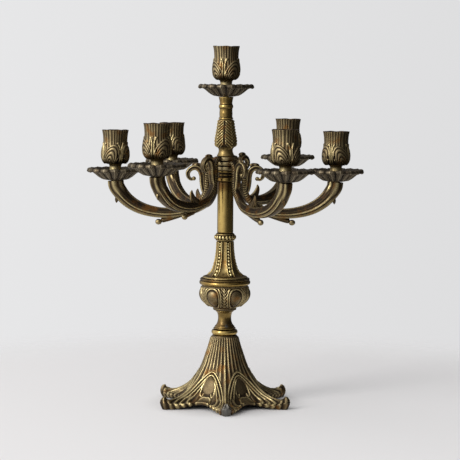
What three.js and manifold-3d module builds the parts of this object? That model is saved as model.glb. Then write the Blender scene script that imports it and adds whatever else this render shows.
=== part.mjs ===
// Seven-light table candelabra, cast and turned brass, held together by one tie rod.
// Millimetres, +Z up. The origin is on the table, on the axis of the column.
import * as THREE from 'three';
import { mergeVertices } from 'three/addons/utils/BufferGeometryUtils.js';
import Module from 'manifold-3d';

const wasm = await Module();
wasm.setup();

// ---- Driving dimensions ----

const seatGap = 0.3; // between two pieces that rest on each other

// Threaded parts
const rodRadius = 3;
const rodHoleRadius = rodRadius + 0.3;
const nutAcrossFlats = 10;
const nutHeight = 5;
const washerRadius = 9;
const washerHeight = 1.6;
const rodOverhang = 3; // rod end below the nut
const threadInCup = 13.7; // how far a stud or the rod enters a cup
const threadInArm = 5.7; // how far a stud enters an arm

// Base
const footCount = 6;
const footTurn = 2; // degrees from the front, towards +X
const footReach = 84;
const footTipHeight = 12.5;
const footSpread = 7; // degrees, half width of a foot
const skirtRadius = 52; // between the feet
const skirtLift = 7; // skirt edge above the table
const baseWall = 3;
const baseHeight = 80;
const baseTopRadius = 13.8;
const crownThickness = 10; // solid top of the base, which the rod passes

// Column, from the base upwards
const collarHeight = 5.9;
const collarRadius = 15;
const spoolHeight = 21.6;
const spoolFootRadius = 12.7;
const spoolWaistRadius = 7.7;
const bowlHeight = 29.3;
const bowlRadius = 28.8;
const bowlWall = 3;
const bandHeight = 7.7;
const bandRadius = 29.3;
const trumpetHeight = 41.9;
const trumpetFootRadius = 26;
const trumpetWall = 2.8;
const knopHeight = 9.1;
const knopRadius = 12.7;
const tubeHeight = 58.7;
const tubeRadius = 9.2;
const tubeWall = 1.5;
const hubHeight = 12.1;
const ringHeight = 5.2; // each swivel ring
const ringRadius = 10.9;
const balusterHeight = 41.8;
const balusterRadius = 12.7;
const topStemHeight = 25.4;
const topStemRadius = 8.6;

// Arms
const armReach = 126; // column axis to pan axis
const armSag = 51.5; // lowest centreline point below the ring
const seatDrop = 14.6; // arm seat below the ring's middle
const bracketRadius = 21.3; // the drop beside the column
const bracketThickness = 5.2;
const bracketWidth = 6;
const armTipThickness = 16.7;
const armTipWidth = 13.8;
const lowerArmTurn = 0; // degrees, rest angles of the three pairs
const middleArmTurn = 121;
const upperArmTurn = 54;

// Drip pan
const panRadius = 32;
const panHeight = 14.2;
const panFloor = 3.2;
const panSeatRadius = 10.9;
const panLobes = 12;
const lobeDepth = 1.1;

// Candle cup
const candleRadius = 11; // a 22 mm dinner candle
const socketRadius = candleRadius + 0.5;
const socketDepth = 25;
const cupHeight = 54.2;
const cupNeckRadius = 8.6;
const cupNeckHeight = 15;
const cupRimWall = 3.4; // beside the candle
const cupBulgeWall = 4.6;

// ---- Finishes ----

const castBrass = { color: 0x7d6a3c, roughness: 0.5, metalness: 1 };
const darkBrass = { color: 0x5e5443, roughness: 0.6, metalness: 1 };
const brightBrass = { color: 0xa88a45, roughness: 0.35, metalness: 1 };
const steel = { color: 0x8a8a88, roughness: 0.4, metalness: 1 };

// ---- Shape helpers ----

// Welds a closed surface, drops collapsed triangles and turns its faces outwards.
function weld(geometry) {
  const bare = new THREE.BufferGeometry();
  bare.setAttribute('position', geometry.getAttribute('position'));
  if (geometry.index) {
    bare.setIndex(geometry.index);
  }
  const merged = mergeVertices(bare, 1e-4);
  const at = (i) => new THREE.Vector3().fromBufferAttribute(merged.attributes.position, i);
  const kept = [];
  let volume = 0;
  for (let t = 0; t < merged.index.count; t += 3) {
    const [a, b, c] = [0, 1, 2].map((k) => merged.index.getX(t + k));
    if (a !== b && b !== c && c !== a) {
      kept.push([a, b, c]);
      volume += at(a).dot(at(b).cross(at(c)));
    }
  }
  merged.setIndex(kept.flatMap(([a, b, c]) => (volume < 0 ? [a, c, b] : [a, b, c])));
  return merged;
}

// Turns an outline of [radius, height] points about the Z axis.
function turned(outline, segments = 24) {
  const points = outline.map(([r, z]) => new THREE.Vector2(r, z));
  const onAxis = outline[0][0] === 0;
  if (!onAxis) {
    points.push(points[0].clone());
  }
  return weld(new THREE.LatheGeometry(points, segments).rotateX(Math.PI / 2));
}

// A turned piece bored for the tie rod: the outline gives its outside, bottom to top.
function boredTurning(outside, segments) {
  const bottom = outside[0][1];
  const top = outside[outside.length - 1][1];
  return turned([[rodHoleRadius, bottom], ...outside, [rodHoleRadius, top]], segments);
}

// Skins a row of closed loops, each a list of Vector3, and caps both ends.
function loft(loops) {
  const sides = loops[0].length;
  const positions = loops.flat();
  const index = [];
  for (let s = 0; s < loops.length - 1; s += 1) {
    for (let k = 0; k < sides; k += 1) {
      const a = s * sides + k;
      const b = s * sides + ((k + 1) % sides);
      index.push(a, b, a + sides, b, b + sides, a + sides);
    }
  }
  for (const [start, flip] of [[0, true], [(loops.length - 1) * sides, false]]) {
    for (let k = 1; k < sides - 1; k += 1) {
      index.push(start, start + (flip ? k + 1 : k), start + (flip ? k : k + 1));
    }
  }
  const geometry = new THREE.BufferGeometry().setFromPoints(positions);
  geometry.setIndex(index);
  return weld(geometry);
}

// A bar along stations [radius, height, thickness, width] in the XZ plane. thickness is
// measured in that plane and width across it.
function bar(stations, steps, sides = 6) {
  const route = stations.map(([x, z]) => new THREE.Vector3(x, 0, z));
  const curve = new THREE.CatmullRomCurve3(route, false, 'centripetal');
  const across = new THREE.Vector3(0, 1, 0);
  const loops = [];
  for (let s = 0; s <= steps; s += 1) {
    const t = s / steps;
    const low = Math.min(Math.floor(t * (stations.length - 1)), stations.length - 2);
    const share = t * (stations.length - 1) - low;
    const [thickness, width] = [2, 3].map((k) => THREE.MathUtils.lerp(stations[low][k], stations[low + 1][k], share));
    const centre = curve.getPoint(t);
    const normal = new THREE.Vector3().crossVectors(across, curve.getTangent(t)).normalize();
    const corner = 0.5 / Math.cos(Math.PI / sides);
    loops.push(Array.from({ length: sides }, (unused, k) => {
      const angle = ((k + 0.5) / sides) * 2 * Math.PI;
      return centre.clone()
        .addScaledVector(normal, Math.cos(angle) * corner * thickness)
        .addScaledVector(across, Math.sin(angle) * corner * width);
    }));
  }
  return loft(loops);
}

function toManifold(geometry) {
  const vertProperties = new Float32Array(geometry.attributes.position.array);
  const triVerts = new Uint32Array(geometry.index.array);
  return new wasm.Manifold(new wasm.Mesh({ numProp: 3, vertProperties, triVerts }));
}

function fromManifold(solid) {
  const mesh = solid.getMesh();
  const geometry = new THREE.BufferGeometry();
  geometry.setAttribute('position', new THREE.BufferAttribute(mesh.vertProperties, 3));
  geometry.setIndex(new THREE.BufferAttribute(mesh.triVerts, 1));
  return weld(geometry);
}

function cylinder(radius, bottom, top, segments = 24) {
  const geometry = new THREE.CylinderGeometry(radius, radius, top - bottom, segments);
  return weld(geometry.rotateX(Math.PI / 2).translate(0, 0, (top + bottom) / 2));
}

const candelabra = new THREE.Group();

// Adds one named piece. It may be raised, moved out along X and then turned about the column.
function place(name, geometry, finish, { raise = 0, out = 0, turn = 0 } = {}) {
  const mesh = new THREE.Mesh(geometry, new THREE.MeshStandardMaterial(finish));
  mesh.name = name;
  mesh.position.set(out, 0, raise);
  const pivot = new THREE.Group();
  pivot.rotation.z = THREE.MathUtils.degToRad(turn);
  pivot.add(mesh);
  candelabra.add(pivot);
}

// ---- Base ----

// The foot is a shell: each column of points runs down the outside and back up the inside.
function baseFoot() {
  const footLine = [[0.14, 0.36], [0.315, 0.225], [0.48, 0.15], [0.645, 0.115], [0.835, 0.13]];
  const wallShift = baseWall / Math.SQRT2; // the slope runs at about 45 degrees
  const neck = [
    [baseTopRadius, baseHeight],
    [baseTopRadius + 2.9, baseHeight - 6.7],
    [baseTopRadius + 6.2, baseHeight - 18.2],
    [baseTopRadius + 9.2, baseHeight - 29.7],
  ];
  const neckEnd = neck[neck.length - 1];
  const ceiling = baseHeight - crownThickness;
  const offsets = [-30, -18, -10, -6.5, -3.5, 0, 3.5, 6.5, 10, 18];
  const columns = [];
  for (let foot = 0; foot < footCount; foot += 1) {
    for (const offset of offsets) {
      const sector = 360 / footCount;
      const angle = THREE.MathUtils.degToRad(footTurn + foot * sector + (offset * sector) / 60 - 90);
      const k = Math.exp(-((offset / footSpread) ** 2));
      const edge = THREE.MathUtils.lerp(skirtRadius, footReach, k);
      const lift = Math.abs(offset) < footSpread ? 0 : skirtLift * (1 - k);
      const tip = THREE.MathUtils.lerp(skirtLift + baseWall, footTipHeight, k);
      const slope = footLine.map(([share, height]) => [
        THREE.MathUtils.lerp(neckEnd[0], edge, share),
        Math.max(height * baseHeight, tip * 0.75),
      ]);
      const outside = [...neck, ...slope, [edge - 2, tip], [edge, tip - 3]];
      const vault = slope.slice(0, 3).reverse().map(([r, z]) => [r - wallShift, z - wallShift]);
      const under = [
        [edge - 1, lift],
        [THREE.MathUtils.lerp(edge, neckEnd[0], 0.35), lift],
        ...vault,
        [neckEnd[0] - baseWall, neckEnd[1]],
        [neck[1][0] - baseWall, ceiling],
        [rodHoleRadius, ceiling],
        [rodHoleRadius, baseHeight],
      ];
      columns.push([...outside, ...under].map(
        ([r, z]) => new THREE.Vector3(r * Math.cos(angle), r * Math.sin(angle), z)));
    }
  }
  const count = columns[0].length;
  const index = [];
  for (let c = 0; c < columns.length; c += 1) {
    const next = (c + 1) % columns.length;
    for (let p = 0; p < count; p += 1) {
      const after = (p + 1) % count;
      const [a, b] = [c * count + p, next * count + p];
      const [d, e] = [c * count + after, next * count + after];
      index.push(a, b, d, b, e, d);
    }
  }
  const geometry = new THREE.BufferGeometry().setFromPoints(columns.flat());
  geometry.setIndex(index);
  return weld(geometry);
}

function washer() {
  return turned([[rodHoleRadius, 0], [washerRadius, 0], [washerRadius, washerHeight], [rodHoleRadius, washerHeight]]);
}

function hexNut() {
  const corner = nutAcrossFlats / 2 / Math.cos(Math.PI / 6);
  const outline = new THREE.Shape(Array.from({ length: 6 }, (unused, k) => {
    const angle = (k * Math.PI) / 3;
    return new THREE.Vector2(corner * Math.cos(angle), corner * Math.sin(angle));
  }));
  outline.holes.push(new THREE.Path().absarc(0, 0, rodHoleRadius, 0, 2 * Math.PI, true));
  return weld(new THREE.ExtrudeGeometry(outline, { depth: nutHeight, bevelEnabled: false, curveSegments: 12 }));
}

// ---- Column ----

function collarRing() {
  return boredTurning([
    [collarRadius - 2.3, 0], [collarRadius - 0.5, 1.2], [collarRadius, 2.9],
    [collarRadius - 0.5, 4.6], [collarRadius - 2, collarHeight],
  ]);
}

function neckSpool() {
  return boredTurning([
    [spoolFootRadius, 0], [spoolFootRadius - 1.2, 2.9], [spoolFootRadius - 3, 5.2],
    [spoolWaistRadius + 0.9, 8.5], [spoolWaistRadius, spoolHeight * 0.63],
    [spoolWaistRadius + 0.5, spoolHeight - 5], [spoolWaistRadius + 1.6, spoolHeight - 2.3],
    [spoolWaistRadius + 2.8, spoolHeight],
  ]);
}

function bowl() {
  const outside = [
    [bowlRadius - 16, 0], [bowlRadius - 14.8, 2.6], [bowlRadius - 11, 3.6], [bowlRadius - 7, 7.4],
    [bowlRadius - 3.6, 11], [bowlRadius - 0.8, 16.6], [bowlRadius, 22.4], [bowlRadius - 1.8, bowlHeight],
  ];
  const inside = outside.slice(3).reverse().map(([r, z]) => [r - bowlWall, z]);
  inside[inside.length - 1][1] = outside[3][1] + 1;
  return turned([[rodHoleRadius, 0], ...outside, ...inside, [rodHoleRadius, outside[3][1] + 1]]);
}

function bandRing() {
  const webRadius = bowlRadius - 1.8 - bowlWall;
  const webLow = bandHeight * 0.3;
  const webHigh = bandHeight * 0.7;
  return turned([
    [rodHoleRadius, webLow], [webRadius, webLow], [webRadius, 0], [bandRadius - 2.4, 0],
    [bandRadius - 0.6, 0.8], [bandRadius, 2.4], [bandRadius, bandHeight - 2.4],
    [bandRadius - 0.6, bandHeight - 0.8], [bandRadius - 2.4, bandHeight],
    [webRadius - 4, bandHeight], [webRadius - 4, webHigh], [rodHoleRadius, webHigh],
  ]);
}

function trumpet() {
  const outside = [
    [trumpetFootRadius, 0], [trumpetFootRadius - 0.8, 1.2], [trumpetFootRadius - 6.4, 3], [tubeRadius + 7.5, 5.5],
    [tubeRadius + 5, 10], [tubeRadius + 2.8, 15], [tubeRadius + 0.9, 24], [tubeRadius, trumpetHeight],
  ];
  const inside = outside.slice(3).reverse().map(([r, z]) => [r - trumpetWall, z]);
  return turned([...outside, ...inside, [trumpetFootRadius - 7, 0]]);
}

function beadKnop() {
  return boredTurning([
    [knopRadius - 2.7, 0], [knopRadius - 1, 1.6], [knopRadius, knopHeight / 2],
    [knopRadius - 1, knopHeight - 1.6], [knopRadius - 2.7, knopHeight],
  ]);
}

function stemTube() {
  const bore = tubeRadius - tubeWall;
  return turned([[bore, 0], [tubeRadius, 0], [tubeRadius, tubeHeight], [bore, tubeHeight]]);
}

function hubCollar() {
  return boredTurning([
    [tubeRadius + 0.4, 0], [ringRadius, 0.8], [ringRadius, 4.4], [ringRadius - 2.1, 5.4],
    [ringRadius - 2.1, hubHeight - 3.1], [ringRadius - 0.6, hubHeight],
  ]);
}

function upperBaluster() {
  return boredTurning([
    [ringRadius - 0.9, 0], [ringRadius - 1.1, 1.2], [topStemRadius - 0.6, 6.5], [topStemRadius - 0.6, 8.5],
    [balusterRadius - 1.2, 12], [balusterRadius, 14.3], [balusterRadius, 20.1],
    [balusterRadius - 1.8, balusterHeight - 17], [balusterRadius - 3.5, balusterHeight - 9],
    [topStemRadius - 0.6, balusterHeight],
  ]);
}

function topStem() {
  const waist = topStemRadius - 1.1;
  return boredTurning([
    [topStemRadius - 0.6, 0], [topStemRadius + 0.3, 1.6], [topStemRadius + 0.3, 4.6], [waist, 8.4],
    [waist, 11.5], [topStemRadius, 13.5], [topStemRadius, 17], [waist, 18.4],
    [waist, topStemHeight - 3], [topStemRadius, topStemHeight],
  ]);
}

// ---- Arms ----

// One casting: a swivel ring and two opposite arms. Heights count from the ring's middle.
function armPair() {
  const span = armReach - bracketRadius;
  const half = ringHeight / 2;
  const slim = ringHeight - 0.4; // stays clear of the rings above and below
  const low = -armSag;
  const strap = [
    [ringRadius - 1.5, 0, slim, ringHeight],
    [ringRadius + 1.6, 0.3, slim, ringHeight],
    [ringRadius + 6, 1, bracketThickness, ringHeight],
    [bracketRadius - 0.4, -4, bracketThickness, bracketWidth],
    [bracketRadius, -14, bracketThickness, bracketWidth],
    [bracketRadius + 1, low * 0.5, bracketThickness + 0.4, bracketWidth],
    [bracketRadius + span * 0.055, low * 0.7, bracketThickness + 1.4, bracketWidth + 1],
    [bracketRadius + span * 0.17, low * 0.9, armTipThickness * 0.51, armTipWidth * 0.65],
    [bracketRadius + span * 0.35, low * 0.99, armTipThickness * 0.64, armTipWidth * 0.76],
    [bracketRadius + span * 0.55, low * 0.985, armTipThickness * 0.71, armTipWidth * 0.8],
    [bracketRadius + span * 0.73, low * 0.89, armTipThickness * 0.8, armTipWidth * 0.87],
    [bracketRadius + span * 0.87, low * 0.71, armTipThickness * 0.9, armTipWidth * 0.94],
    [armReach - 6, -seatDrop - 8.5, armTipThickness, armTipWidth],
    [armReach, -seatDrop + 2, armTipThickness, armTipWidth],
  ];
  let arm = toManifold(bar(strap, 16, 8));

  // C-scroll standing on the back of the bracket
  const back = bracketRadius + bracketThickness / 2;
  const scroll = [
    [back - 0.9, low * 0.55, 5.8, bracketWidth],
    [back + 1.3, low * 0.39, 4.4, bracketWidth],
    [back + 1.3, low * 0.19, 4.2, bracketWidth - 0.6],
    [back + 2.6, -3, 4, bracketWidth - 1],
    [back + 8.7, 1.7, 4, bracketWidth - 1],
    [back + 15.4, -1.2, 3.6, bracketWidth - 1.4],
    [back + 17.4, -6.3, 3.2, bracketWidth - 1.8],
    [back + 14.4, -11, 2.8, bracketWidth - 2.2],
    [back + 10.6, -11.5, 2.3, bracketWidth - 2.6],
  ];
  arm = arm.add(toManifold(bar(scroll, 11)));

  // Horn leaf on top, curled leaf below, and the leaf tip under the seat
  const horn = [
    [bracketRadius + 34, low + 2, 10, bracketWidth],
    [bracketRadius + 42.4, low + 10.5, 4.4, bracketWidth - 1.4],
    [bracketRadius + 41.7, low + 19.2, 0.8, 1],
  ];
  const leaf = [
    [bracketRadius + 30, low - 1, 6, bracketWidth],
    [bracketRadius + 43, low - 7.5, 3.4, bracketWidth - 1],
    [bracketRadius + 50, low - 9.6, 4, bracketWidth - 1],
    [bracketRadius + 54.5, low - 10.8, 5.2, bracketWidth - 0.6],
  ];
  const sheath = [
    [armReach - 6, -seatDrop - 10, 6, bracketWidth + 2],
    [armReach + 1, -seatDrop - 17, 3.4, bracketWidth - 1],
    [armReach + 2, -seatDrop - 23, 0.8, 1],
  ];
  for (const growth of [horn, leaf, sheath]) {
    arm = arm.add(toManifold(bar(growth, growth.length)));
  }

  // Flat seat and the blind hole for the stud
  const above = cylinder(armTipThickness, -seatDrop, -seatDrop + 20, 8).translate(armReach, 0, 0);
  const studHole = cylinder(rodHoleRadius, -seatDrop - threadInArm - seatGap, -seatDrop + 1, 16);
  arm = arm.subtract(toManifold(above)).subtract(toManifold(studHole.translate(armReach, 0, 0)));

  const ring = turned([
    [rodHoleRadius, -half], [ringRadius - 0.8, -half], [ringRadius, -half + 1.4], [ringRadius, half - 1.4],
    [ringRadius - 0.8, half], [rodHoleRadius, half],
  ]);
  const opposite = arm.rotate([0, 0, 180]);
  return fromManifold(toManifold(ring).add(arm).add(opposite));
}

// ---- Lights ----

function dripPan() {
  const outline = [
    [rodHoleRadius, 0], [panSeatRadius, 0], [panRadius - 13.6, 2.9],
    [panRadius - 9, panHeight - 7.6], [panRadius - 2.1, panHeight - 5.6],
    [panRadius, panHeight - 1.6], [panRadius - 1.2, panHeight], [panRadius - 4.5, panHeight],
    [panRadius - 14, panHeight - 6.8], [cupNeckRadius + 2.4, panFloor], [rodHoleRadius, panFloor],
  ];
  const pan = turned(outline, 2 * panLobes);
  const place2d = new THREE.Vector3();
  const position = pan.attributes.position;
  for (let i = 0; i < position.count; i += 1) {
    place2d.fromBufferAttribute(position, i);
    const radius = Math.hypot(place2d.x, place2d.y);
    const outer = THREE.MathUtils.smoothstep(radius, panRadius - 9, panRadius);
    const wave = (1 - Math.cos(panLobes * Math.atan2(place2d.y, place2d.x))) / 2;
    const shrink = 1 - (lobeDepth * outer * wave) / panRadius;
    position.setXY(i, place2d.x * shrink, place2d.y * shrink);
  }
  return pan;
}

function candleCup() {
  const rim = socketRadius + cupRimWall;
  const bulge = socketRadius + cupBulgeWall;
  const socketFloor = cupHeight - socketDepth;
  const boreTop = threadInCup + seatGap;
  return turned([
    [0, boreTop], [rodHoleRadius, boreTop], [rodHoleRadius, 0], [cupNeckRadius + 0.6, 0],
    [cupNeckRadius, cupNeckHeight], [bulge - 3.4, cupNeckHeight + 2.6],
    [bulge, cupNeckHeight + 11], [bulge - 0.8, cupHeight - 21],
    [rim - 1.5, cupHeight - 13], [rim, cupHeight], [socketRadius, cupHeight],
    [socketRadius, socketFloor], [0, socketFloor],
  ], 16);
}

// ---- Assembly ----

const ceilingHeight = baseHeight - crownThickness;
const washerBottom = ceilingHeight - seatGap - washerHeight;
const nutBottom = washerBottom - seatGap - nutHeight;
place('base_foot', baseFoot(), castBrass);
place('base_washer', washer(), steel, { raise: washerBottom });
place('base_nut', hexNut(), steel, { raise: nutBottom });

let level = baseHeight + seatGap;
const columnPieces = [
  ['collar_ring', collarRing(), collarHeight, brightBrass],
  ['neck_spool', neckSpool(), spoolHeight, brightBrass],
  ['bowl', bowl(), bowlHeight, castBrass],
  ['band_ring', bandRing(), bandHeight, brightBrass],
  ['trumpet', trumpet(), trumpetHeight, castBrass],
  ['bead_knop', beadKnop(), knopHeight, castBrass],
  ['stem_tube', stemTube(), tubeHeight, brightBrass],
  ['hub_collar', hubCollar(), hubHeight, brightBrass],
];
for (const [name, geometry, height, finish] of columnPieces) {
  place(name, geometry, finish, { raise: level });
  level += height + seatGap;
}

// One light: drip pan on its seat, cup on the pan's floor.
function addLight(name, seat, where) {
  const panBottom = seat + seatGap;
  const cupBottom = panBottom + panFloor + seatGap;
  place(`pan_${name}`, dripPan(), darkBrass, { ...where, raise: panBottom });
  place(`cup_${name}`, candleCup(), castBrass, { ...where, raise: cupBottom });
  return cupBottom + threadInCup;
}

for (const [name, turn] of [['lower', lowerArmTurn], ['middle', middleArmTurn], ['upper', upperArmTurn]]) {
  const middle = level + ringHeight / 2;
  const seat = middle - seatDrop;
  place(`${name}_arms`, armPair(), castBrass, { raise: middle, turn });
  for (const [side, extra] of [['a', 0], ['b', 180]]) {
    const where = { out: armReach, turn: turn + extra };
    const studTop = addLight(`${name}_${side}`, seat, where);
    place(`stud_${name}_${side}`, cylinder(rodRadius, seat - threadInArm, studTop, 16), steel, where);
  }
  level += ringHeight + seatGap;
}

place('upper_baluster', upperBaluster(), castBrass, { raise: level });
level += balusterHeight + seatGap;
place('top_stem', topStem(), brightBrass, { raise: level });
level += topStemHeight;
const rodTop = addLight('centre', level, {});
place('tie_rod', cylinder(rodRadius, nutBottom - rodOverhang, rodTop, 16), steel);

export default candelabra;
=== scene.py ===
import math

import bpy
import numpy as np
from mathutils import Euler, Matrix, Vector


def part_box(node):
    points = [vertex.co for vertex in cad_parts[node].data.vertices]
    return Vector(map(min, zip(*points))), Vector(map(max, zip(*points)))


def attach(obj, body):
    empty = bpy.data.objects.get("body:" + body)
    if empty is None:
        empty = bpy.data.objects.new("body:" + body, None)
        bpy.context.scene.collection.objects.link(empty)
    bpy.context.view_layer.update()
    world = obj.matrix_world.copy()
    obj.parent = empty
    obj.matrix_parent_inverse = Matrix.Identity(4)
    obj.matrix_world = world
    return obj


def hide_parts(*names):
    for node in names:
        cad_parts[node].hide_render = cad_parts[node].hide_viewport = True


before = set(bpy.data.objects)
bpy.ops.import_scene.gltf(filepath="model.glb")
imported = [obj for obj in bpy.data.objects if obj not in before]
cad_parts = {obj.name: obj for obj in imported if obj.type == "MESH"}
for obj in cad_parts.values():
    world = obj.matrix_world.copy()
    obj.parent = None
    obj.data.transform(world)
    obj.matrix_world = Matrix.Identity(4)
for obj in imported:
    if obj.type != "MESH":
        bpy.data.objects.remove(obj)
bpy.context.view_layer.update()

# A seven-light cast brass candelabra. Shapes are worked out in millimetres and
# scaled to metres when a mesh is made.
perMetre = 1000.0
front = -90.0            # degrees. The candelabra faces -Y.


# Places taken from the frame

def nodeBox(name):
    low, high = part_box(name)
    return np.array(low) * perMetre, np.array(high) * perMetre


def nodeBottom(name):
    return nodeBox(name)[0][2]


def nodeTop(name):
    return nodeBox(name)[1][2]


def nodeHeight(name):
    return nodeTop(name) - nodeBottom(name)


def nodeRadius(name):
    low, high = nodeBox(name)
    return (high[0] - low[0]) / 2


def nodeCentre(name):
    low, high = nodeBox(name)
    return (low + high) / 2


clearance = 0.3          # between pieces that rest on each other or slide over the rod
boreRadius = nodeRadius("tie_rod") + clearance
hiddenSpacing = 2.5      # between points on walls that can't be seen
hiddenWear = 0.35


# Numbers and lines

def smooth(low, high, value):
    share = np.clip((value - low) / (high - low), 0, 1)
    return share * share * (3 - 2 * share)


def mix(a, b, share):
    return a + (b - a) * share


def through(points, at):
    # Smooth value at a place counted in control points
    points = np.asarray(points, float)
    last = len(points) - 1
    at = np.clip(np.asarray(at, float), 0, last)
    low = np.minimum(np.floor(at).astype(int), last - 1)
    u = at - low
    if points.ndim > 1:
        u = u[..., None]
    p0, p1, p2, p3 = (points[np.clip(low + k, 0, last)] for k in (-1, 0, 1, 2))
    curve = 2 * p0 - 5 * p1 + 4 * p2 - p3 + u * (3 * (p1 - p2) + p3 - p0)
    return p1 + 0.5 * u * (p2 - p0 + u * curve)


def evenCurve(points, count):
    # Evenly spaced points on a smooth curve through all the given ones
    points = np.asarray(points, float)
    if len(points) == 2:
        return points[0] + (points[1] - points[0]) * np.linspace(0, 1, count)[:, None]
    knots = np.concatenate([[0], np.cumsum(np.sqrt(np.linalg.norm(np.diff(points, axis=0), axis=1)))])
    slopes = np.gradient(points, knots, axis=0)
    fine = np.linspace(0, knots[-1], 30 * len(points))
    low = np.clip(np.searchsorted(knots, fine, "right") - 1, 0, len(points) - 2)
    gap = (knots[low + 1] - knots[low])[:, None]
    u = ((fine - knots[low]))[:, None] / gap
    line = ((2 * u**3 - 3 * u**2 + 1) * points[low] + (u**3 - 2 * u**2 + u) * gap * slopes[low]
            + (3 * u**2 - 2 * u**3) * points[low + 1] + (u**3 - u**2) * gap * slopes[low + 1])
    run = np.concatenate([[0], np.cumsum(np.linalg.norm(np.diff(line, axis=0), axis=1))])
    want = np.linspace(0, run[-1], count)
    return np.stack([np.interp(want, run, line[:, k]) for k in range(line.shape[1])], 1)


def halfRound(distance, width):
    # 1 on the crest, 0 from one width away
    return np.sqrt(np.clip(1 - (distance / width) ** 2, 0, 1))


def crest(distance, width):
    return np.exp(-((distance / width) ** 2))


def distanceTo(points, line):
    # Distance from every point to the nearest stretch of a line
    flat = points.reshape(-1, points.shape[-1])
    best = np.full(len(flat), 1e9)
    for a, b in zip(line[:-1], line[1:]):
        along = b - a
        share = np.clip((flat - a) @ along / max(along @ along, 1e-9), 0, 1)
        best = np.minimum(best, np.linalg.norm(flat - a - share[:, None] * along, axis=1))
    return best.reshape(points.shape[:-1])


def fromNearest(angle, count, first=0.0):
    # Degrees from the nearest of several repeats round the axis
    sector = 360 / count
    return (angle - first + sector / 2) % sector - sector / 2


def anglesAround(count):
    return 2 * math.pi * np.arange(count)[None] / count


def aroundAxis(r, z, angle):
    return np.stack(np.broadcast_arrays(r * np.cos(angle), r * np.sin(angle), z), -1)

# Surfaces. A shell is (vertices, triangles, relief), and relief says how worn a spot is:
# 0 in a recess that polishing never reaches, 1 on a crest that hands rub bright.

def gridNormals(grid, closed):
    across = np.roll(grid, -1, 1) - np.roll(grid, 1, 1)
    if closed:
        along = np.roll(grid, -1, 0) - np.roll(grid, 1, 0)
    else:
        along = np.gradient(grid, axis=0)
    normals = np.cross(across, along)
    return normals / np.maximum(np.linalg.norm(normals, axis=-1, keepdims=True), 1e-9)


def volumeOf(vertices, triangles):
    a, b, c = (vertices[triangles[:, k]] for k in range(3))
    return np.einsum("ij,ij->i", a, np.cross(b, c)).sum() / 6


def shellFrom(grid, relief, closed=True):
    # Skins a grid that closes round its columns, and round its rows or with two caps
    rows, columns = grid.shape[:2]
    index = np.arange(rows * columns).reshape(rows, columns)
    here = index if closed else index[:-1]
    below = np.roll(index, -1, 0) if closed else index[1:]
    a, b = here, np.roll(here, -1, 1)
    c, d = np.roll(below, -1, 1), below
    triangles = [np.stack([a, b, c], -1).reshape(-1, 3), np.stack([a, c, d], -1).reshape(-1, 3)]
    vertices = [grid.reshape(-1, 3)]
    worn = [np.broadcast_to(relief, grid.shape[:2]).reshape(-1)]
    if not closed:
        for row, turn in ((0, -1), (rows - 1, 1)):
            centre = np.full(columns, rows * columns + (row > 0))
            ring = index[row]
            triangles.append(np.stack([ring, np.roll(ring, -turn), centre], -1))
            vertices.append(grid[row].mean(0, keepdims=True))
            worn.append(worn[0].reshape(rows, columns)[row].mean(keepdims=True))
    vertices, triangles, worn = np.concatenate(vertices), np.concatenate(triangles), np.concatenate(worn)
    if volumeOf(vertices, triangles) < 0:
        triangles = triangles[:, ::-1]
    return vertices, triangles, np.clip(worn, 0, 1)


def raised(grid, height, closed=True):
    # Moves a grid along its own outward normals
    normals = gridNormals(grid, closed)
    vertices, triangles = shellFrom(grid, 0, closed)[:2]
    a, b, c = triangles[len(triangles) // 3]
    facing = np.cross(vertices[b] - vertices[a], vertices[c] - vertices[a])
    sign = 1 if facing @ normals.reshape(-1, 3)[a] > 0 else -1
    return grid + sign * normals * height[..., None]


def moved(shell, turn=0.0, shift=(0, 0, 0)):
    # Turned about the vertical by degrees, then moved
    vertices, triangles, worn = shell
    c, s = math.cos(math.radians(turn)), math.sin(math.radians(turn))
    spun = vertices @ np.array([[c, s, 0], [-s, c, 0], [0, 0, 1]])
    return spun + np.asarray(shift, float), triangles, worn


def joined(shells):
    vertices, triangles, worn, start = [], [], [], 0
    for v, t, w in shells:
        vertices.append(v)
        triangles.append(t + start)
        worn.append(w)
        start += len(v)
    return np.concatenate(vertices), np.concatenate(triangles), np.concatenate(worn)


def linked(name, data):
    thing = bpy.data.objects.new(name, data)
    bpy.context.scene.collection.objects.link(thing)
    return thing


def addValues(mesh, name, values):
    # One number for each vertex, which the materials read
    attribute = mesh.attributes.new(name, "FLOAT", "POINT")
    attribute.data.foreach_set("value", values.astype(np.float32))


def makePiece(name, shell, material, body, node, chips=()):
    # chips are spots where the finish is knocked off down to grey metal: (centre, radius)
    vertices, triangles, worn = shell
    mesh = bpy.data.meshes.new(name)
    mesh.vertices.add(len(vertices))
    mesh.vertices.foreach_set("co", (vertices / perMetre).astype(np.float32).ravel())
    mesh.loops.add(3 * len(triangles))
    mesh.loops.foreach_set("vertex_index", triangles.astype(np.int32).ravel())
    mesh.polygons.add(len(triangles))
    mesh.polygons.foreach_set("loop_start", np.arange(0, 3 * len(triangles), 3, dtype=np.int32))
    mesh.update(calc_edges=True)
    mesh.validate()
    mesh.polygons.foreach_set("use_smooth", np.ones(len(mesh.polygons), bool))
    addValues(mesh, "relief", worn)
    if chips:
        bare = np.zeros(len(vertices))
        for centre, radius in chips:
            bare = np.maximum(bare, 1 - np.linalg.norm(vertices - np.array(centre), axis=1) / radius)
        addValues(mesh, "chipped", bare)
    piece = linked(name, mesh)
    piece.data.materials.append(material)
    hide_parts(node)
    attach(piece, body)


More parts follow.
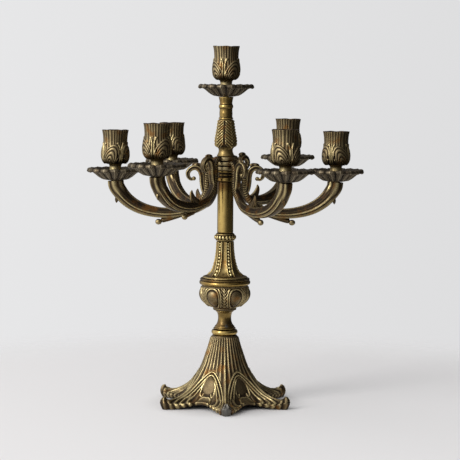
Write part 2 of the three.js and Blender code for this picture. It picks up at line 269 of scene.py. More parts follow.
def outline(strokes, spacings):
    # Joins strokes at sharp corners into one closed outline, and says which stroke a row is on
    rows, owner = [], []
    for k, (stroke, spacing) in enumerate(zip(strokes, spacings)):
        stroke = np.asarray(stroke, float)
        length = np.linalg.norm(np.diff(stroke, axis=0), axis=1).sum()
        count = max(3, int(length / spacing) + 2)
        rows.append(evenCurve(stroke, count)[:-1])
        owner += [k] * (count - 1)
    return np.concatenate(rows), np.array(owner)


def turning(strokes, around, spacings, detail):
    # Turns an outline about the vertical. detail gives (height, relief) on the first stroke.
    line, owner = outline(strokes, spacings)
    angle = anglesAround(around)
    r, z = line[:, :1], line[:, 1:]
    grid = aroundAxis(r, z, angle)
    height = np.zeros(grid.shape[:2])
    worn = np.full(grid.shape[:2], hiddenWear)
    outer = owner == 0
    height[outer], worn[outer] = detail(np.degrees(angle), r[outer], z[outer])
    return shellFrom(raised(grid, height), worn)


# Materials

def linear(hexColour, alpha=1.0):
    parts = [int(hexColour[k:k + 2], 16) / 255 for k in (1, 3, 5)]
    return [p / 12.92 if p <= 0.04045 else ((p + 0.055) / 1.055) ** 2.4 for p in parts] + [alpha]


def addNode(tree, kind, settings=None, links=None):
    node = tree.nodes.new(kind)
    for key, value in (settings or {}).items():
        if isinstance(key, int) or key in node.inputs:
            node.inputs[key].default_value = value
        else:
            setattr(node, key, value)
    for key, socket in (links or {}).items():
        tree.links.new(socket, node.inputs[key])
    return node


def fillRamp(ramp, stops):
    elements = ramp.color_ramp.elements
    while len(elements) > 1:
        elements.remove(elements[-1])
    elements[0].position, elements[0].color = stops[0]
    for place, colour in stops[1:]:
        elements.new(place).color = colour
    return ramp.outputs["Color"]


def emptyTree(owner):
    owner.use_nodes = True
    owner.node_tree.nodes.clear()
    return owner.node_tree


def newMaterial(name):
    material = bpy.data.materials.new(name)
    tree = emptyTree(material)
    shader = addNode(tree, "ShaderNodeBsdfPrincipled")
    addNode(tree, "ShaderNodeOutputMaterial", links={"Surface": shader.outputs["BSDF"]})
    place = addNode(tree, "ShaderNodeTexCoord")
    return material, tree, shader, place.outputs["Object"]


chipDesign = {"colour": "#66645F", "raggedness": 0.6, "border": (0.28, 0.5), "cover": 0.9}
stainBorder = (0.56, 0.72)   # noise values where a stain sets in and where it is full


def wornBrass(name, tones, roughness, cloud, grain, metallic=(0.75, 1.0)):
    # Brass under a dark wax patina: dark and dull in the recesses, bare on the crests.
    # Clouds, stains and grain have their sizes in millimetres.
    material, tree, shader, place = newMaterial(name)
    relief = addNode(tree, "ShaderNodeAttribute", {"attribute_name": "relief"})
    clouds = addNode(tree, "ShaderNodeTexNoise",
                     {"Scale": perMetre / cloud["size"], "Detail": 4.0, "Roughness": 0.6},
                     {"Vector": place})
    specks = addNode(tree, "ShaderNodeTexNoise", {"Scale": perMetre / grain["size"], "Detail": 3.0},
                     {"Vector": place})
    centred = addNode(tree, "ShaderNodeMath", {"operation": "SUBTRACT", 1: 0.5}, {0: clouds.outputs["Fac"]})
    drift = addNode(tree, "ShaderNodeMath", {"operation": "MULTIPLY_ADD", 1: cloud["amount"]},
                    {0: centred.outputs["Value"], 2: relief.outputs["Fac"]})
    specked = addNode(tree, "ShaderNodeMath", {"operation": "SUBTRACT", 1: 0.5}, {0: specks.outputs["Fac"]})
    level = addNode(tree, "ShaderNodeMath",
                    {"operation": "MULTIPLY_ADD", 1: grain["amount"], "use_clamp": True},
                    {0: specked.outputs["Value"], 2: drift.outputs["Value"]})
    ramp = addNode(tree, "ShaderNodeValToRGB", links={"Fac": level.outputs["Value"]})
    colour = fillRamp(ramp, [(at, linear(tone)) for at, tone in tones])
    # Warm brown stains lie here and there over the patina
    stains = addNode(tree, "ShaderNodeTexNoise", {"Scale": perMetre / cloud["stainSize"], "Detail": 2.0},
                     {"Vector": place})
    stainMask = addNode(tree, "ShaderNodeMapRange",
                        {"From Min": stainBorder[0], "From Max": stainBorder[1], "To Max": cloud["stain"]},
                        {"Value": stains.outputs["Fac"]})
    # On a colour mix, inputs 6 and 7 are the two colours and output 2 is the result
    stained = addNode(tree, "ShaderNodeMix", {"data_type": "RGBA", 7: linear(cloud["stainColour"])},
                      {0: stainMask.outputs["Result"], 6: colour})
    # Grey metal with a ragged border, where the finish is knocked off
    chipped = addNode(tree, "ShaderNodeAttribute", {"attribute_name": "chipped"})
    ragged = addNode(tree, "ShaderNodeMath", {"operation": "MULTIPLY_ADD", 1: chipDesign["raggedness"]},
                     {0: centred.outputs["Value"], 2: chipped.outputs["Fac"]})
    chipLow, chipHigh = chipDesign["border"]
    chipMask = addNode(tree, "ShaderNodeMapRange",
                       {"From Min": chipLow, "From Max": chipHigh, "To Max": chipDesign["cover"]},
                       {"Value": ragged.outputs["Value"]})
    bared = addNode(tree, "ShaderNodeMix", {"data_type": "RGBA", 7: linear(chipDesign["colour"])},
                    {0: chipMask.outputs["Result"], 6: stained.outputs[2]})
    rough = addNode(tree, "ShaderNodeMapRange", {"To Min": roughness[0], "To Max": roughness[1]},
                    {"Value": level.outputs["Value"]})
    metal = addNode(tree, "ShaderNodeMapRange",
                    {"From Max": 0.45, "To Min": metallic[0], "To Max": metallic[1]},
                    {"Value": level.outputs["Value"]})
    bump = addNode(tree, "ShaderNodeBump",
                   {"Strength": grain["bump"], "Distance": grain["depth"] / perMetre},
                   {"Height": specks.outputs["Fac"]})
    tree.links.new(bared.outputs[2], shader.inputs["Base Color"])
    tree.links.new(rough.outputs["Result"], shader.inputs["Roughness"])
    tree.links.new(metal.outputs["Result"], shader.inputs["Metallic"])
    tree.links.new(bump.outputs["Normal"], shader.inputs["Normal"])
    return material


def castBrassMaterial():
    # Sand-cast brass, chased and antiqued: a fine orange-peel skin, black-brown in the
    # recesses and dull gold wherever a crest has been rubbed
    return wornBrass(
        "antiqued_cast_brass",
        tones=[(0.0, "#15100B"), (0.25, "#3A2E1E"), (0.5, "#6C5E45"), (0.75, "#A29169"), (1.0, "#D8C68E")],
        roughness=(0.6, 0.3),
        cloud={"size": 9.0, "amount": 0.36, "stainSize": 11.0, "stain": 0.6, "stainColour": "#7A4F1C"},
        grain={"size": 0.9, "amount": 0.22, "bump": 0.35, "depth": 0.16})


def lacqueredBrassMaterial():
    # Cast brass under old yellowed lacquer: the same relief as the arms, warmer and more golden
    return wornBrass(
        "lacquered_cast_brass",
        tones=[(0.0, "#150F08"), (0.25, "#3C2F1A"), (0.5, "#7B6840"), (0.75, "#B49F69"), (1.0, "#E0D09A")],
        roughness=(0.55, 0.26),
        cloud={"size": 8.0, "amount": 0.38, "stainSize": 9.0, "stain": 0.6, "stainColour": "#7A4D1A"},
        grain={"size": 0.9, "amount": 0.22, "bump": 0.3, "depth": 0.14})


def turnedBrassMaterial():
    # Lathe-turned and once polished brass: smooth, with soft brown tarnish clouds
    return wornBrass(
        "turned_polished_brass",
        tones=[(0.0, "#1F170E"), (0.3, "#54442A"), (0.55, "#8C7442"), (0.8, "#B79C5C"), (1.0, "#D8C284")],
        roughness=(0.42, 0.17),
        cloud={"size": 12.0, "amount": 0.5, "stainSize": 16.0, "stain": 0.55, "stainColour": "#6A4520"},
        grain={"size": 0.7, "amount": 0.1, "bump": 0.12, "depth": 0.08},
        metallic=(0.85, 1.0))


def panBrassMaterial():
    # Thin cast brass darkened by candle smoke and wax: greyer and duller than the rest
    return wornBrass(
        "smoked_cast_brass",
        tones=[(0.0, "#14110E"), (0.3, "#3D352A"), (0.6, "#6B614F"), (0.85, "#968A70"), (1.0, "#BDB193")],
        roughness=(0.62, 0.38),
        cloud={"size": 8.0, "amount": 0.3, "stainSize": 12.0, "stain": 0.3, "stainColour": "#5A4630"},
        grain={"size": 0.8, "amount": 0.24, "bump": 0.4, "depth": 0.16})


steelDesign = {"rustSize": 6.0, "skinDepth": 0.1, "roughness": (0.35, 0.7)}     # sizes in millimetres


def steelMaterial():
    # Mild steel bar with a dull rolled skin, brown where damp has reached it
    d = steelDesign
    material, tree, shader, place = newMaterial("rolled_mild_steel")
    rust = addNode(tree, "ShaderNodeTexNoise", {"Scale": perMetre / d["rustSize"], "Detail": 4.0},
                   {"Vector": place})
    ramp = addNode(tree, "ShaderNodeValToRGB", links={"Fac": rust.outputs["Fac"]})
    colour = fillRamp(ramp, [(0.35, linear("#7A7670")), (0.6, linear("#5E554B")),
                             (0.75, linear("#5A3B24"))])
    rough = addNode(tree, "ShaderNodeMapRange", {"To Min": d["roughness"][0], "To Max": d["roughness"][1]},
                    {"Value": rust.outputs["Fac"]})
    bump = addNode(tree, "ShaderNodeBump", {"Strength": 0.3, "Distance": d["skinDepth"] / perMetre},
                   {"Height": rust.outputs["Fac"]})
    shader.inputs["Metallic"].default_value = 1.0
    tree.links.new(colour, shader.inputs["Base Color"])
    tree.links.new(rough.outputs["Result"], shader.inputs["Roughness"])
    tree.links.new(bump.outputs["Normal"], shader.inputs["Normal"])
    return material


castBrass = castBrassMaterial()
lacqueredBrass = lacqueredBrassMaterial()
turnedBrass = turnedBrassMaterial()
panBrass = panBrassMaterial()
steel = steelMaterial()
print("materials ready")


# Base: six feet under a fluted bell, with a domed cartouche between each two feet

footDesign = {
    "count": 6,
    "turn": 2.0,             # degrees from the front, towards +X
    "noseLength": 8.0,
    "noseHalf": 4.8,         # degrees from a foot's middle to the side of its nose
    "padHalf": 2.9,          # and to the side of the pad it stands on
    "flutes": 36,
    "fluteDepth": 0.85,
    "archHeight": 1.3,
    "frondDepth": 2.1,
    "frondLean": 1.9,        # degrees to a station
    "leafHeight": 1.2,
    "scallop": 2.4,
    "cabochon": 1.3,
    "cabochonAt": (30, 11.2),        # degrees, station
    "cabochonHalf": (11.4, 1.4),
    "wall": (3.0, 2.4),      # at the crown and at the hem
    "crown": (13.7, 70.0),   # radius and height of the vault's flat top
    "chips": [((3.5, -84, 6), 15.0), ((-34, -64, 5), 4.0)],
    "columns": 37,           # per half of a foot's sector
    "rows": 185,
}
# Radius and height down a foot and down a cartouche, station by station
footRidge = [(12.6, 80), (14.2, 79.2), (15.5, 76.7), (16.9, 72), (18.6, 66), (20.5, 60.5), (22.3, 55),
             (24.2, 49.5), (27, 44), (30.5, 38), (35, 31.5), (41, 25), (48, 19), (56, 14.0), (65, 10.4),
             (73.5, 9.6), (80, 13.4), (83.6, 8.6)]
cartoucheLine = footRidge[:8] + [(26.4, 44), (28.9, 38.5), (31.8, 33), (35, 27.5), (38.6, 22), (42.2, 17),
                                 (45.6, 12.8), (48.4, 10.5), (50.4, 9.7), (52, 9.5)]
# Height of the hem's upper and lower edge, by degrees from the foot
skirtTop = [(0, 8.6), (1, 8.4), (2, 7.8), (4, 6.4), (6.5, 5.4), (10, 5.4), (15, 6.2), (22, 8.2), (30, 9)]
hemBottom = [(0, 0), (4.5, 0), (8, 1.2), (12, 2.6), (18, 4.4), (30, 6.4)]
# Lines of the ornament as (degrees from the foot, station)
outerArch = [(30, 8.7), (24, 8.9), (18, 9.4), (12.6, 10.0), (8.0, 10.7), (4.6, 11.6), (3.0, 12.6),
             (2.6, 13.6), (4.6, 14.7), (6.8, 15.9), (8.8, 17)]
innerArch = [(30, 9.35), (24.6, 9.55), (19.2, 10.1), (14.2, 10.8), (10.0, 11.5), (6.8, 12.4), (5.5, 13.4),
             (7.6, 14.6), (10.2, 15.9), (12.5, 17)]
thirdArch = [(24.5, 10.1), (19.6, 10.6), (15.6, 11.4), (12.4, 12.4), (10.8, 13.4), (12.4, 14.7),
             (14.8, 15.9), (17, 17)]
cabochonRim = [(30, 9.8), (25.5, 10.05), (21, 10.5), (18.0, 11.2), (17.6, 12.0), (19.4, 12.7),
               (22.4, 12.9), (23.2, 12.4)]
footRib = [(0, 5.6), (0, 9), (0, 12), (0, 15.4)]
leafBorder = [(30, 13.3), (25.5, 13.2), (22.0, 13.8), (20.8, 15.0), (21.2, 16), (22, 17)]
frondEdges = [0.9, 3.8, 7.0, 10.6, 14.6, 19.4, 40]      # degrees from the foot, at the hem


def footSurface(phi, station):
    # Smooth surface of half a sector, before any ornament
    d = footDesign
    last = len(footRidge) - 1
    ridge, valley = through(footRidge, station), through(cartoucheLine, station)
    # 1 along the middle of a foot, 0 between two feet
    k = (np.cos(np.radians(d["count"] / 2 * phi)) ** 2) ** mix(1.2, 1.7, smooth(5, last, station))
    # Only a narrow nose reaches the full radius
    nose = d["noseLength"] * smooth(14, last, station) * (1 - np.exp(-((phi / d["noseHalf"]) ** 2)))
    r = mix(valley[..., 0], ridge[..., 0] - nose, k)
    z = mix(valley[..., 1], ridge[..., 1], k)
    hem = np.interp(phi, *zip(*skirtTop))
    side = smooth(10.2, last, station) * (1 - np.exp(-((phi / d["padHalf"]) ** 2)))
    return r, mix(z, hem, side), k


def footPoints(phi, station):
    r, z = footSurface(phi, station)[:2]
    return aroundAxis(r, z, np.radians(phi))


def onFoot(line):
    fine = evenCurve(line, 60)
    return footPoints(fine[:, 0], fine[:, 1])


def footRelief(phi, station):
    d = footDesign
    points = footPoints(phi, station)
    archAt = np.interp(phi, *zip(*outerArch[7::-1]))
    # Flutes with sharp crests down to the outer arch
    flute = 1 - np.abs(np.sin(np.radians(phi * d["flutes"] / 2)))
    fluted = smooth(1.0, 2.2, station) * (1 - smooth(archAt - 0.7, archAt - 0.1, station))
    height = d["fluteDepth"] * flute * fluted
    worn = mix(0.5, 0.22 + 0.6 * flute, fluted)
    inside = smooth(archAt - 0.1, archAt + 0.25, station)
    worn = mix(worn, 0.16, inside)
    height = height - 0.4 * inside * (1 - smooth(16.2, 17, station))
    # Fronds that run out from under the arches to the scalloped hem
    last = len(footRidge) - 1
    hem = phi + d["frondLean"] * (last - station)
    cell = np.clip(np.searchsorted(frondEdges, hem, "right") - 1, 0, len(frondEdges) - 2)
    start, width = np.array(frondEdges)[cell], np.diff(frondEdges)[cell]
    share = np.clip((hem - start) / width, 0, 1)
    swell = np.sqrt(np.clip(np.sin(math.pi * share), 0, 1))
    outward = smooth(12.0, 13.4, station + 0.02 * phi) * (1 - smooth(17.8, 19.6, phi))
    outward = outward * (hem > frondEdges[0]) * inside
    vein = crest((share - 0.5) * width / 57 * points[..., 0], 0.35)      # 57 degrees make a radian
    height = height + outward * d["frondDepth"] * (swell - 0.3 + 0.22 * vein)
    worn = mix(worn, 0.04 + 0.54 * swell**2 + 0.28 * vein, outward)
    # Smooth leaf under the cabochon
    leaf = smooth(12.8, 13.4, station) * smooth(19.0, 20.5, phi - 0.6 * (station - 13))
    height = height + leaf * d["leafHeight"]
    worn = mix(worn, 0.5, leaf)
    raisedLines = [(outerArch, d["archHeight"], 1.1), (innerArch, d["archHeight"] * 0.9, 1.0),
                   (thirdArch, 1.0, 0.95), (cabochonRim, 1.0, 0.8), (footRib, 1.2, 0.95),
                   (leafBorder, 0.9, 0.9)]
    for line, gain, halfWidth in raisedLines:
        # A broad line opens into a leaf finger as it nears the hem
        opening = 0.45 * smooth(12.5, 16, station) * (halfWidth > 0.9)
        ridge = halfRound(distanceTo(points, onFoot(line)), halfWidth * (1 + opening))
        height = np.maximum(height, height * (1 - ridge) + gain * ridge)
        worn = np.maximum(worn, 0.95 * ridge)
    # Domed cabochon
    middle, half = d["cabochonAt"], d["cabochonHalf"]
    rho = np.sqrt(((phi - middle[0]) / half[0]) ** 2 + ((station - middle[1]) / half[1]) ** 2)
    dome = np.sqrt(np.clip(1 - rho**2, 0, 1))
    height = height + dome * d["cabochon"]
    worn = np.where(dome > 0, mix(worn, 0.4, smooth(0, 0.5, dome)), worn)
    scallop = smooth(14.6, last, station) * (hem > 2.4) * (hem < frondEdges[-2])
    return height, worn, scallop * (swell - 0.6) * d["scallop"], scallop * (1 - swell)


def baseFoot():
    d = footDesign
    last = len(footRidge) - 1
    # Columns crowd towards the middle of the foot, where its nose and pad are narrow
    phi = 180 / d["count"] * (np.linspace(0, 1, d["columns"]) ** 1.35)[None]
    station = np.linspace(0, last, d["rows"])[:, None]
    phi, station = np.broadcast_arrays(phi, station)
    r, z, k = footSurface(phi, station)
    height, worn, scallop, gap = footRelief(phi, station)
    r = r + scallop
    # Rolled hem and flat pads under the feet
    edgeR, edgeZ, edgePhi = r[-1:], z[-1:], phi[-1:]
    hemLow = np.minimum(np.interp(edgePhi, *zip(*hemBottom)), edgeZ - 2.2)
    hemLow = np.clip(hemLow + 4.0 * gap[-1:] ** 2 * smooth(2.0, 3.4, edgePhi), 0, edgeZ - 1.4)
    turns = np.linspace(0, math.pi, 9)[1:, None]
    under = (1 - np.cos(turns)) / 2
    rollR = edgeR + mix(0.8, 1.1, k[-1:]) * np.sin(turns) - mix(0.5, 2.4, k[-1:]) * under
    rollZ = edgeZ - (edgeZ - hemLow) * under
    # The open vault inside, up to the flat crown and the rod's bore
    shoulder = cartoucheLine[7][0]
    vaultR = [mix(edgeR, shoulder, share) for share in (0.06, 0.3, 0.36)]
    vaultZ = [hemLow] * len(vaultR)
    for at in np.linspace(12, 7, 10):
        wallR, wallZ = footSurface(phi[:1], np.full_like(phi[:1], at))[:2]
        wall = mix(*d["wall"], smooth(7, 12, at))
        vaultR.append(np.minimum(wallR - wall, vaultR[-1]))
        vaultZ.append(wallZ - wall * 0.9)
    crownRadius, crownHeight = d["crown"]
    top = nodeTop("base_foot")
    for ringR, ringZ in ((crownRadius, crownHeight), (boreRadius, crownHeight), (boreRadius, top - 1),
                         (boreRadius, top), (8.0, top)):
        vaultR.append(np.full_like(edgeR, ringR))
        vaultZ.append(np.full_like(edgeR, ringZ))
    allR = np.concatenate([r, rollR, *vaultR])
    allZ = np.concatenate([z, rollZ, *vaultZ])
    rollWorn = np.repeat(worn[-1:] * 0.9, len(turns), 0)
    vaultWorn = np.full((len(vaultR), phi.shape[1]), 0.08)
    allWorn = np.concatenate([worn, rollWorn, vaultWorn])
    fade = np.linspace(1, 0, len(turns))[:, None]
    allHeight = np.concatenate([height, height[-1:] * fade, np.zeros_like(vaultWorn)])
    # The half sector, mirrored and then repeated round the axis
    mirror = list(range(d["columns"] - 1, 0, -1)) + list(range(d["columns"] - 1))
    signs = np.repeat([-1, 1], d["columns"] - 1)
    angles = signs * phi[0, mirror]
    turned = [angles + foot * 360 / d["count"] + d["turn"] + front for foot in range(d["count"])]
    repeats = (1, d["count"])
    grid = aroundAxis(np.tile(allR[:, mirror], repeats), np.tile(allZ[:, mirror], repeats),
                      np.radians(np.concatenate(turned)))
    grid = raised(grid, np.tile(allHeight[:, mirror], repeats))
    grid[..., 2] = np.clip(grid[..., 2], 0, top)
    return shellFrom(grid, np.tile(allWorn[:, mirror], repeats))


makePiece("foot_casting", baseFoot(), castBrass, "stand", "base_foot", footDesign["chips"])
print("base ready")


# Column

def columnPiece(name, node, outside, design, material, detail, inside=None, chips=()):
    # outside runs from the bottom corner to the top corner. Every height here, and the one
    # that detail is given, is above the node's bottom.
    bottom = nodeBottom(node)
    if inside is None:
        inside = [(boreRadius, nodeHeight(node)), (boreRadius, 0)]
    outer, inner = ([(r, h + bottom) for r, h in line] for line in (outside, inside))
    strokes = [outer, [outer[-1], inner[0]]] + [inner[k:k + 2] for k in range(len(inner) - 1)]
    strokes.append([inner[-1], outer[0]])
    spacings = [design["spacing"]] + [hiddenSpacing] * (len(strokes) - 1)
    shell = turning(strokes, design["around"], spacings, lambda angle, r, z: detail(angle, r, z - bottom))
    spots = [((x, y, h + bottom), radius) for (x, y, h), radius in chips]
    makePiece(name, shell, material, "stand", node, spots)


def grooved(at, grooves):
    # Fine grooves, each (place, half width, share of the full depth)
    return sum(share * crest(at - height, half) for height, half, share in grooves)


collarDesign = {"wear": 0.36, "rubbed": 0.45, "rubbedWidth": 2.2, "around": 128, "spacing": 0.35}


def collar():
    d = collarDesign
    outer = nodeRadius("collar_ring")
    height = nodeHeight("collar_ring")
    profile = [(outer - 3.2, 0), (outer - 1.4, 0.15), (outer - 0.35, 1.3), (outer, height / 2),
               (outer - 0.35, height - 1.3), (outer - 1.4, height - 0.15), (outer - 3, height)]

    def detail(angle, r, at):
        # Brighter where the turning stands proud
        return 0.0, d["wear"] + d["rubbed"] * smooth(outer - d["rubbedWidth"], outer, r)

    columnPiece("collar_torus", "collar_ring", profile, d, turnedBrass, detail)


spoolDesign = {
    "grooves": [(2.3, 0.35, 1.0), (4.1, 0.35, 1.0), (0.3, 0.3, 0.7)],
    "grooveDepth": 0.35,
    "wear": 0.34,
    "chips": [((2.5, -11, 5), 4.2)],
    "around": 128,
    "spacing": 0.3,
}


def spool():
    d = spoolDesign
    height = nodeHeight("neck_spool")
    profile = [(11.4, 0), (12.5, 0.5), (12.8, 1.3), (12.2, 2.1), (11.5, 2.7), (11.3, 3.7), (9.9, 5.0),
               (8.5, 7.4), (7.7, 11), (7.55, 14), (8, 17), (9, 19.6), (10.4, 20.9), (10.2, height)]

    def detail(angle, r, at):
        lines = grooved(at, d["grooves"])
        worn = d["wear"] + 0.25 * smooth(8.5, 12, r) - 0.4 * lines + 0.16 * smooth(7, 15, at)
        return -d["grooveDepth"] * lines, worn

    columnPiece("neck_spool_turning", "neck_spool", profile, d, turnedBrass, detail,
                chips=d["chips"])


bowlDesign = {
    "eggs": 6,
    "firstEgg": -31.0,       # degrees from the front
    "eggHalfWidth": 8.6,
    "eggMiddle": 15.6,       # height
    "eggHalfHeight": 11.6,
    "eggTaper": 0.2,         # narrower towards its foot
    "eggDome": 1.9,
    "rim": 1.2,
    "leafDepth": 1.1,
    "veinGap": 3.8,
    "knocked": (25.5, 19),   # radius and height of the worn spot on the first egg
    "around": 400,
    "spacing": 0.36,
}


def bowl():
    d = bowlDesign
    height = nodeHeight("bowl")
    profile = [(11.6, 0), (12.9, 0.4), (13.5, 1.5), (13.2, 2.6), (14.2, 3.4), (17.2, 4.6), (20.6, 7),
               (23.6, 10), (26.2, 13.6), (27.6, 17.4), (27.9, 21.2), (27.3, 25), (26.3, 27.6),
               (26.6, height)]
    inside = [(22.5, height), (22.5, 18.0), (17.5, 8.4), (boreRadius, 8.4), (boreRadius, 0)]

    def detail(angle, r, at):
        x = np.radians(fromNearest(angle, d["eggs"], d["firstEgg"] + front)) * r
        v = (at - d["eggMiddle"]) / d["eggHalfHeight"]
        rho = np.sqrt((x / (d["eggHalfWidth"] * (1 + d["eggTaper"] * v))) ** 2 + v**2)
        dome = np.sqrt(np.clip(1 - (rho / 0.8) ** 2, 0, 1))
        # Two rims round each egg. The outer one stops short of the bowl's foot.
        rims = np.maximum(halfRound((rho - 0.97) * 8, 0.72), halfRound((rho - 1.2) * 8, 0.68) * (at > 6))
        body = smooth(4.2, 5.4, at) * (1 - smooth(27.0, 27.8, at))
        # Pointed leaf between two eggs: a midrib and veins that climb away from it
        gapX = np.abs(np.abs(x) - np.radians(180 / d["eggs"]) * r)
        outside = smooth(1.22, 1.32, rho)
        veins = 0.5 + 0.5 * np.cos(2 * math.pi * (at - 1.5 * gapX) / d["veinGap"])
        leaf = outside * np.maximum(veins**1.5, halfRound(gapX, 0.8))
        gain = d["eggDome"] * dome + d["rim"] * rims + d["leafDepth"] * (leaf - 0.5 * outside)
        worn = 0.14 + 0.42 * smooth(0, 0.7, dome) + 0.75 * rims + 0.7 * leaf
        return body * gain, mix(0.5, worn, body)

    eggAngle = math.radians(d["firstEgg"] + front)
    radius, up = d["knocked"]
    x, y = radius * math.cos(eggAngle), radius * math.sin(eggAngle)
    columnPiece("bowl_casting", "bowl", profile, d, castBrass, detail, inside,
                chips=[((x, y, up), 4.5), ((x + 2.5, y - 1, up - 5), 2.6)])


bandDesign = {"grooves": [(5.25, 0.4, 1.0)], "wear": 0.6, "around": 160, "spacing": 0.3}


def band():
    d = bandDesign
    outer = nodeRadius("band_ring")
    height = nodeHeight("band_ring")
    profile = [(outer - 4.2, 0), (outer - 2.2, 0.1), (outer - 0.7, 0.9), (outer, 2.6), (outer - 0.5, 4.3),
               (outer - 1.6, 5.1), (outer - 1.7, 5.5), (outer - 0.9, 5.9), (outer - 0.8, 6.6),
               (outer - 1.4, height - 0.3), (outer - 2.4, height)]
    inside = [(18.7, height), (18.7, 5.0), (boreRadius, 5.0), (boreRadius, 2.6), (22.4, 2.6), (22.4, 0)]

    def detail(angle, r, at):
        return 0.0, d["wear"] - 0.5 * grooved(at, d["grooves"]) - 0.25 * smooth(5.5, 6.5, at)

    columnPiece("band_ring_turning", "band_ring", profile, d, turnedBrass, detail, inside)


trumpetDesign = {
    "panels": 6,
    "beads": 11,
    "firstBead": -36.0,      # degrees from the front
    "beadSmall": 1.4,
    "beadLarge": 2.15,
    "beadStep": 1.02,        # 1 sets the beads touching
    "topGap": 2.2,           # from the top edge to the first bead's middle
    "channelHalf": 2.05,
    "channelDepth": 0.9,
    "wall": 2.8,
    "around": 360,
    "spacing": 0.33,
}


def trumpetPiece():
    d = trumpetDesign
    height = nodeHeight("trumpet")
    foot = nodeRadius("trumpet")
    profile = [(foot - 1.6, 0), (foot - 0.4, 0.3), (foot - 0.5, 1.2), (foot - 2.4, 2.0), (foot - 5.2, 3.0),
               (18.4, 4.6), (16.0, 7.0), (14.2, 10.5), (12.8, 15), (11.6, 20), (10.6, 26), (9.9, 33),
               (9.5, height)]
    wall = d["wall"]
    inside = [(9.5 - wall, height), (10.6 - wall, 26), (14.2 - wall, 10.5), (18.6, 3.0), (18.9, 0)]
    # Bead centres run down the channel, each a little larger than the one above
    sizes = np.linspace(d["beadSmall"], d["beadLarge"], d["beads"])
    run = d["topGap"] + np.concatenate([[0], np.cumsum(sizes[:-1] + sizes[1:]) * d["beadStep"]])
    line = evenCurve(profile[::-1], 400)
    path = np.concatenate([[0], np.cumsum(np.linalg.norm(np.diff(line, axis=0), axis=1))])

    def detail(angle, r, at):
        down = np.interp(at, line[::-1, 1], path[::-1])
        halfSector = np.radians(180 / d["panels"]) * r
        x = np.abs(np.radians(fromNearest(angle, d["panels"], d["firstBead"] + front)) * r)
        half = d["channelHalf"] * np.interp(at, [0, 42], [1.25, 0.72])
        channel = 1 - smooth(half - 0.25, half + 0.35, x)
        edge = halfRound(x - half - 0.75, 0.8)
        # Panels are hollowed between the ridges that border them
        panelHalf = halfSector - half - 1.5
        hollow = 1 - np.clip(np.abs(halfSector - x) / np.maximum(panelHalf, 0.5), 0, 1) ** 2
        gain = 0.7 * edge - d["channelDepth"] * channel - 0.9 * hollow * (1 - channel)
        worn = 0.44 - 0.34 * channel + 0.34 * edge + 0.1 * hollow
        for middle, size in zip(run, sizes):
            ball = halfRound(np.sqrt(x**2 + (down - middle) ** 2), size * 0.96)
            gain = np.maximum(gain, -d["channelDepth"] + (0.9 * size + 0.2) * ball)
            worn = np.maximum(worn, 0.95 * smooth(0.1, 0.45, ball))
        body = smooth(2.4, 3.6, at)
        lip = 1 - smooth(1.5, 2.6, at)
        return gain * body, mix(mix(0.3, 0.75, lip), worn, body)

    columnPiece("trumpet_casting", "trumpet", profile, d, lacqueredBrass, detail, inside)


knopDesign = {
    "beads": 18,
    "beadRadius": 1.95,
    "beadTall": 1.35,        # height over width
    "beadHeight": 1.5,
    "borderAt": 3.7,         # above and below the middle
    "around": 288,
    "spacing": 0.28,
}


def knop():
    d = knopDesign
    outer = nodeRadius("bead_knop")
    height = nodeHeight("bead_knop")
    profile = [(outer - 3, 0), (outer - 2, 0.4), (outer - 1.4, 1.6), (outer - 1, 3),
               (outer - 0.9, height / 2), (outer - 1, height - 3), (outer - 1.4, height - 1.6),
               (outer - 2, height - 0.4), (outer - 3, height)]

    def detail(angle, r, at):
        up = at - height / 2
        x = np.radians(fromNearest(angle, d["beads"])) * r
        ball = halfRound(np.sqrt(x**2 + (up / d["beadTall"]) ** 2), d["beadRadius"])
        border = halfRound(np.abs(up) - d["borderAt"], 0.6)
        return d["beadHeight"] * ball + 0.3 * border - 0.6, 0.08 + 0.85 * ball + 0.7 * border

    columnPiece("bead_knop_casting", "bead_knop", profile, d, lacqueredBrass, detail)


tubeDesign = {"wall": 1.5, "wear": 0.74, "smoke": 0.42, "smokeHeight": 16.0, "around": 128, "spacing": 0.8}


def tube():
    d = tubeDesign
    outer = nodeRadius("stem_tube")
    height = nodeHeight("stem_tube")
    profile = [(outer - 0.5, 0), (outer - 0.02, 0.6), (outer, 1.4), (outer, height / 3),
               (outer, height * 2 / 3), (outer, height - 1.4), (outer - 0.02, height - 0.6),
               (outer - 0.5, height)]
    inside = [(outer - d["wall"], height), (outer - d["wall"], 0)]

    def detail(angle, r, at):
        # Handling keeps the lower part bright, smoke dulls the top
        smoke = smooth(height - d["smokeHeight"], height - 1, at) + crest(at, 1.2)
        return 0.0, d["wear"] - d["smoke"] * smoke

    columnPiece("stem_tube_turning", "stem_tube", profile, d, turnedBrass, detail, inside)


hubDesign = {
    "grooves": [(5.9, 0.9, 1.0), (9.2, 0.9, 1.0), (0.1, 0.5, 1.0)],
    "grooveDepth": 0.4,
    "around": 128,
    "spacing": 0.3,
}


def hub():
    d = hubDesign
    height = nodeHeight("hub_collar")
    outer = nodeRadius("hub_collar")
    profile = [(9.6, 0), (10.4, 0.2), (outer, 0.9), (outer, 2.2), (outer, 4.0), (outer - 0.6, 4.7),
               (outer - 1.5, 5.1), (outer - 2, 5.9), (outer - 1.5, 6.6), (outer - 1.2, 7.6),
               (outer - 1.6, 8.5), (outer - 2, 9.2), (outer - 1.1, 10), (outer - 0.5, 11.2),
               (outer - 0.7, height)]

    def detail(angle, r, at):
        grooves = grooved(at, d["grooves"])
        return -d["grooveDepth"] * grooves, 0.5 - 0.5 * grooves + 0.2 * crest(at - 2.4, 1.2)

    columnPiece("hub_collar_turning", "hub_collar", profile, d, turnedBrass, detail)


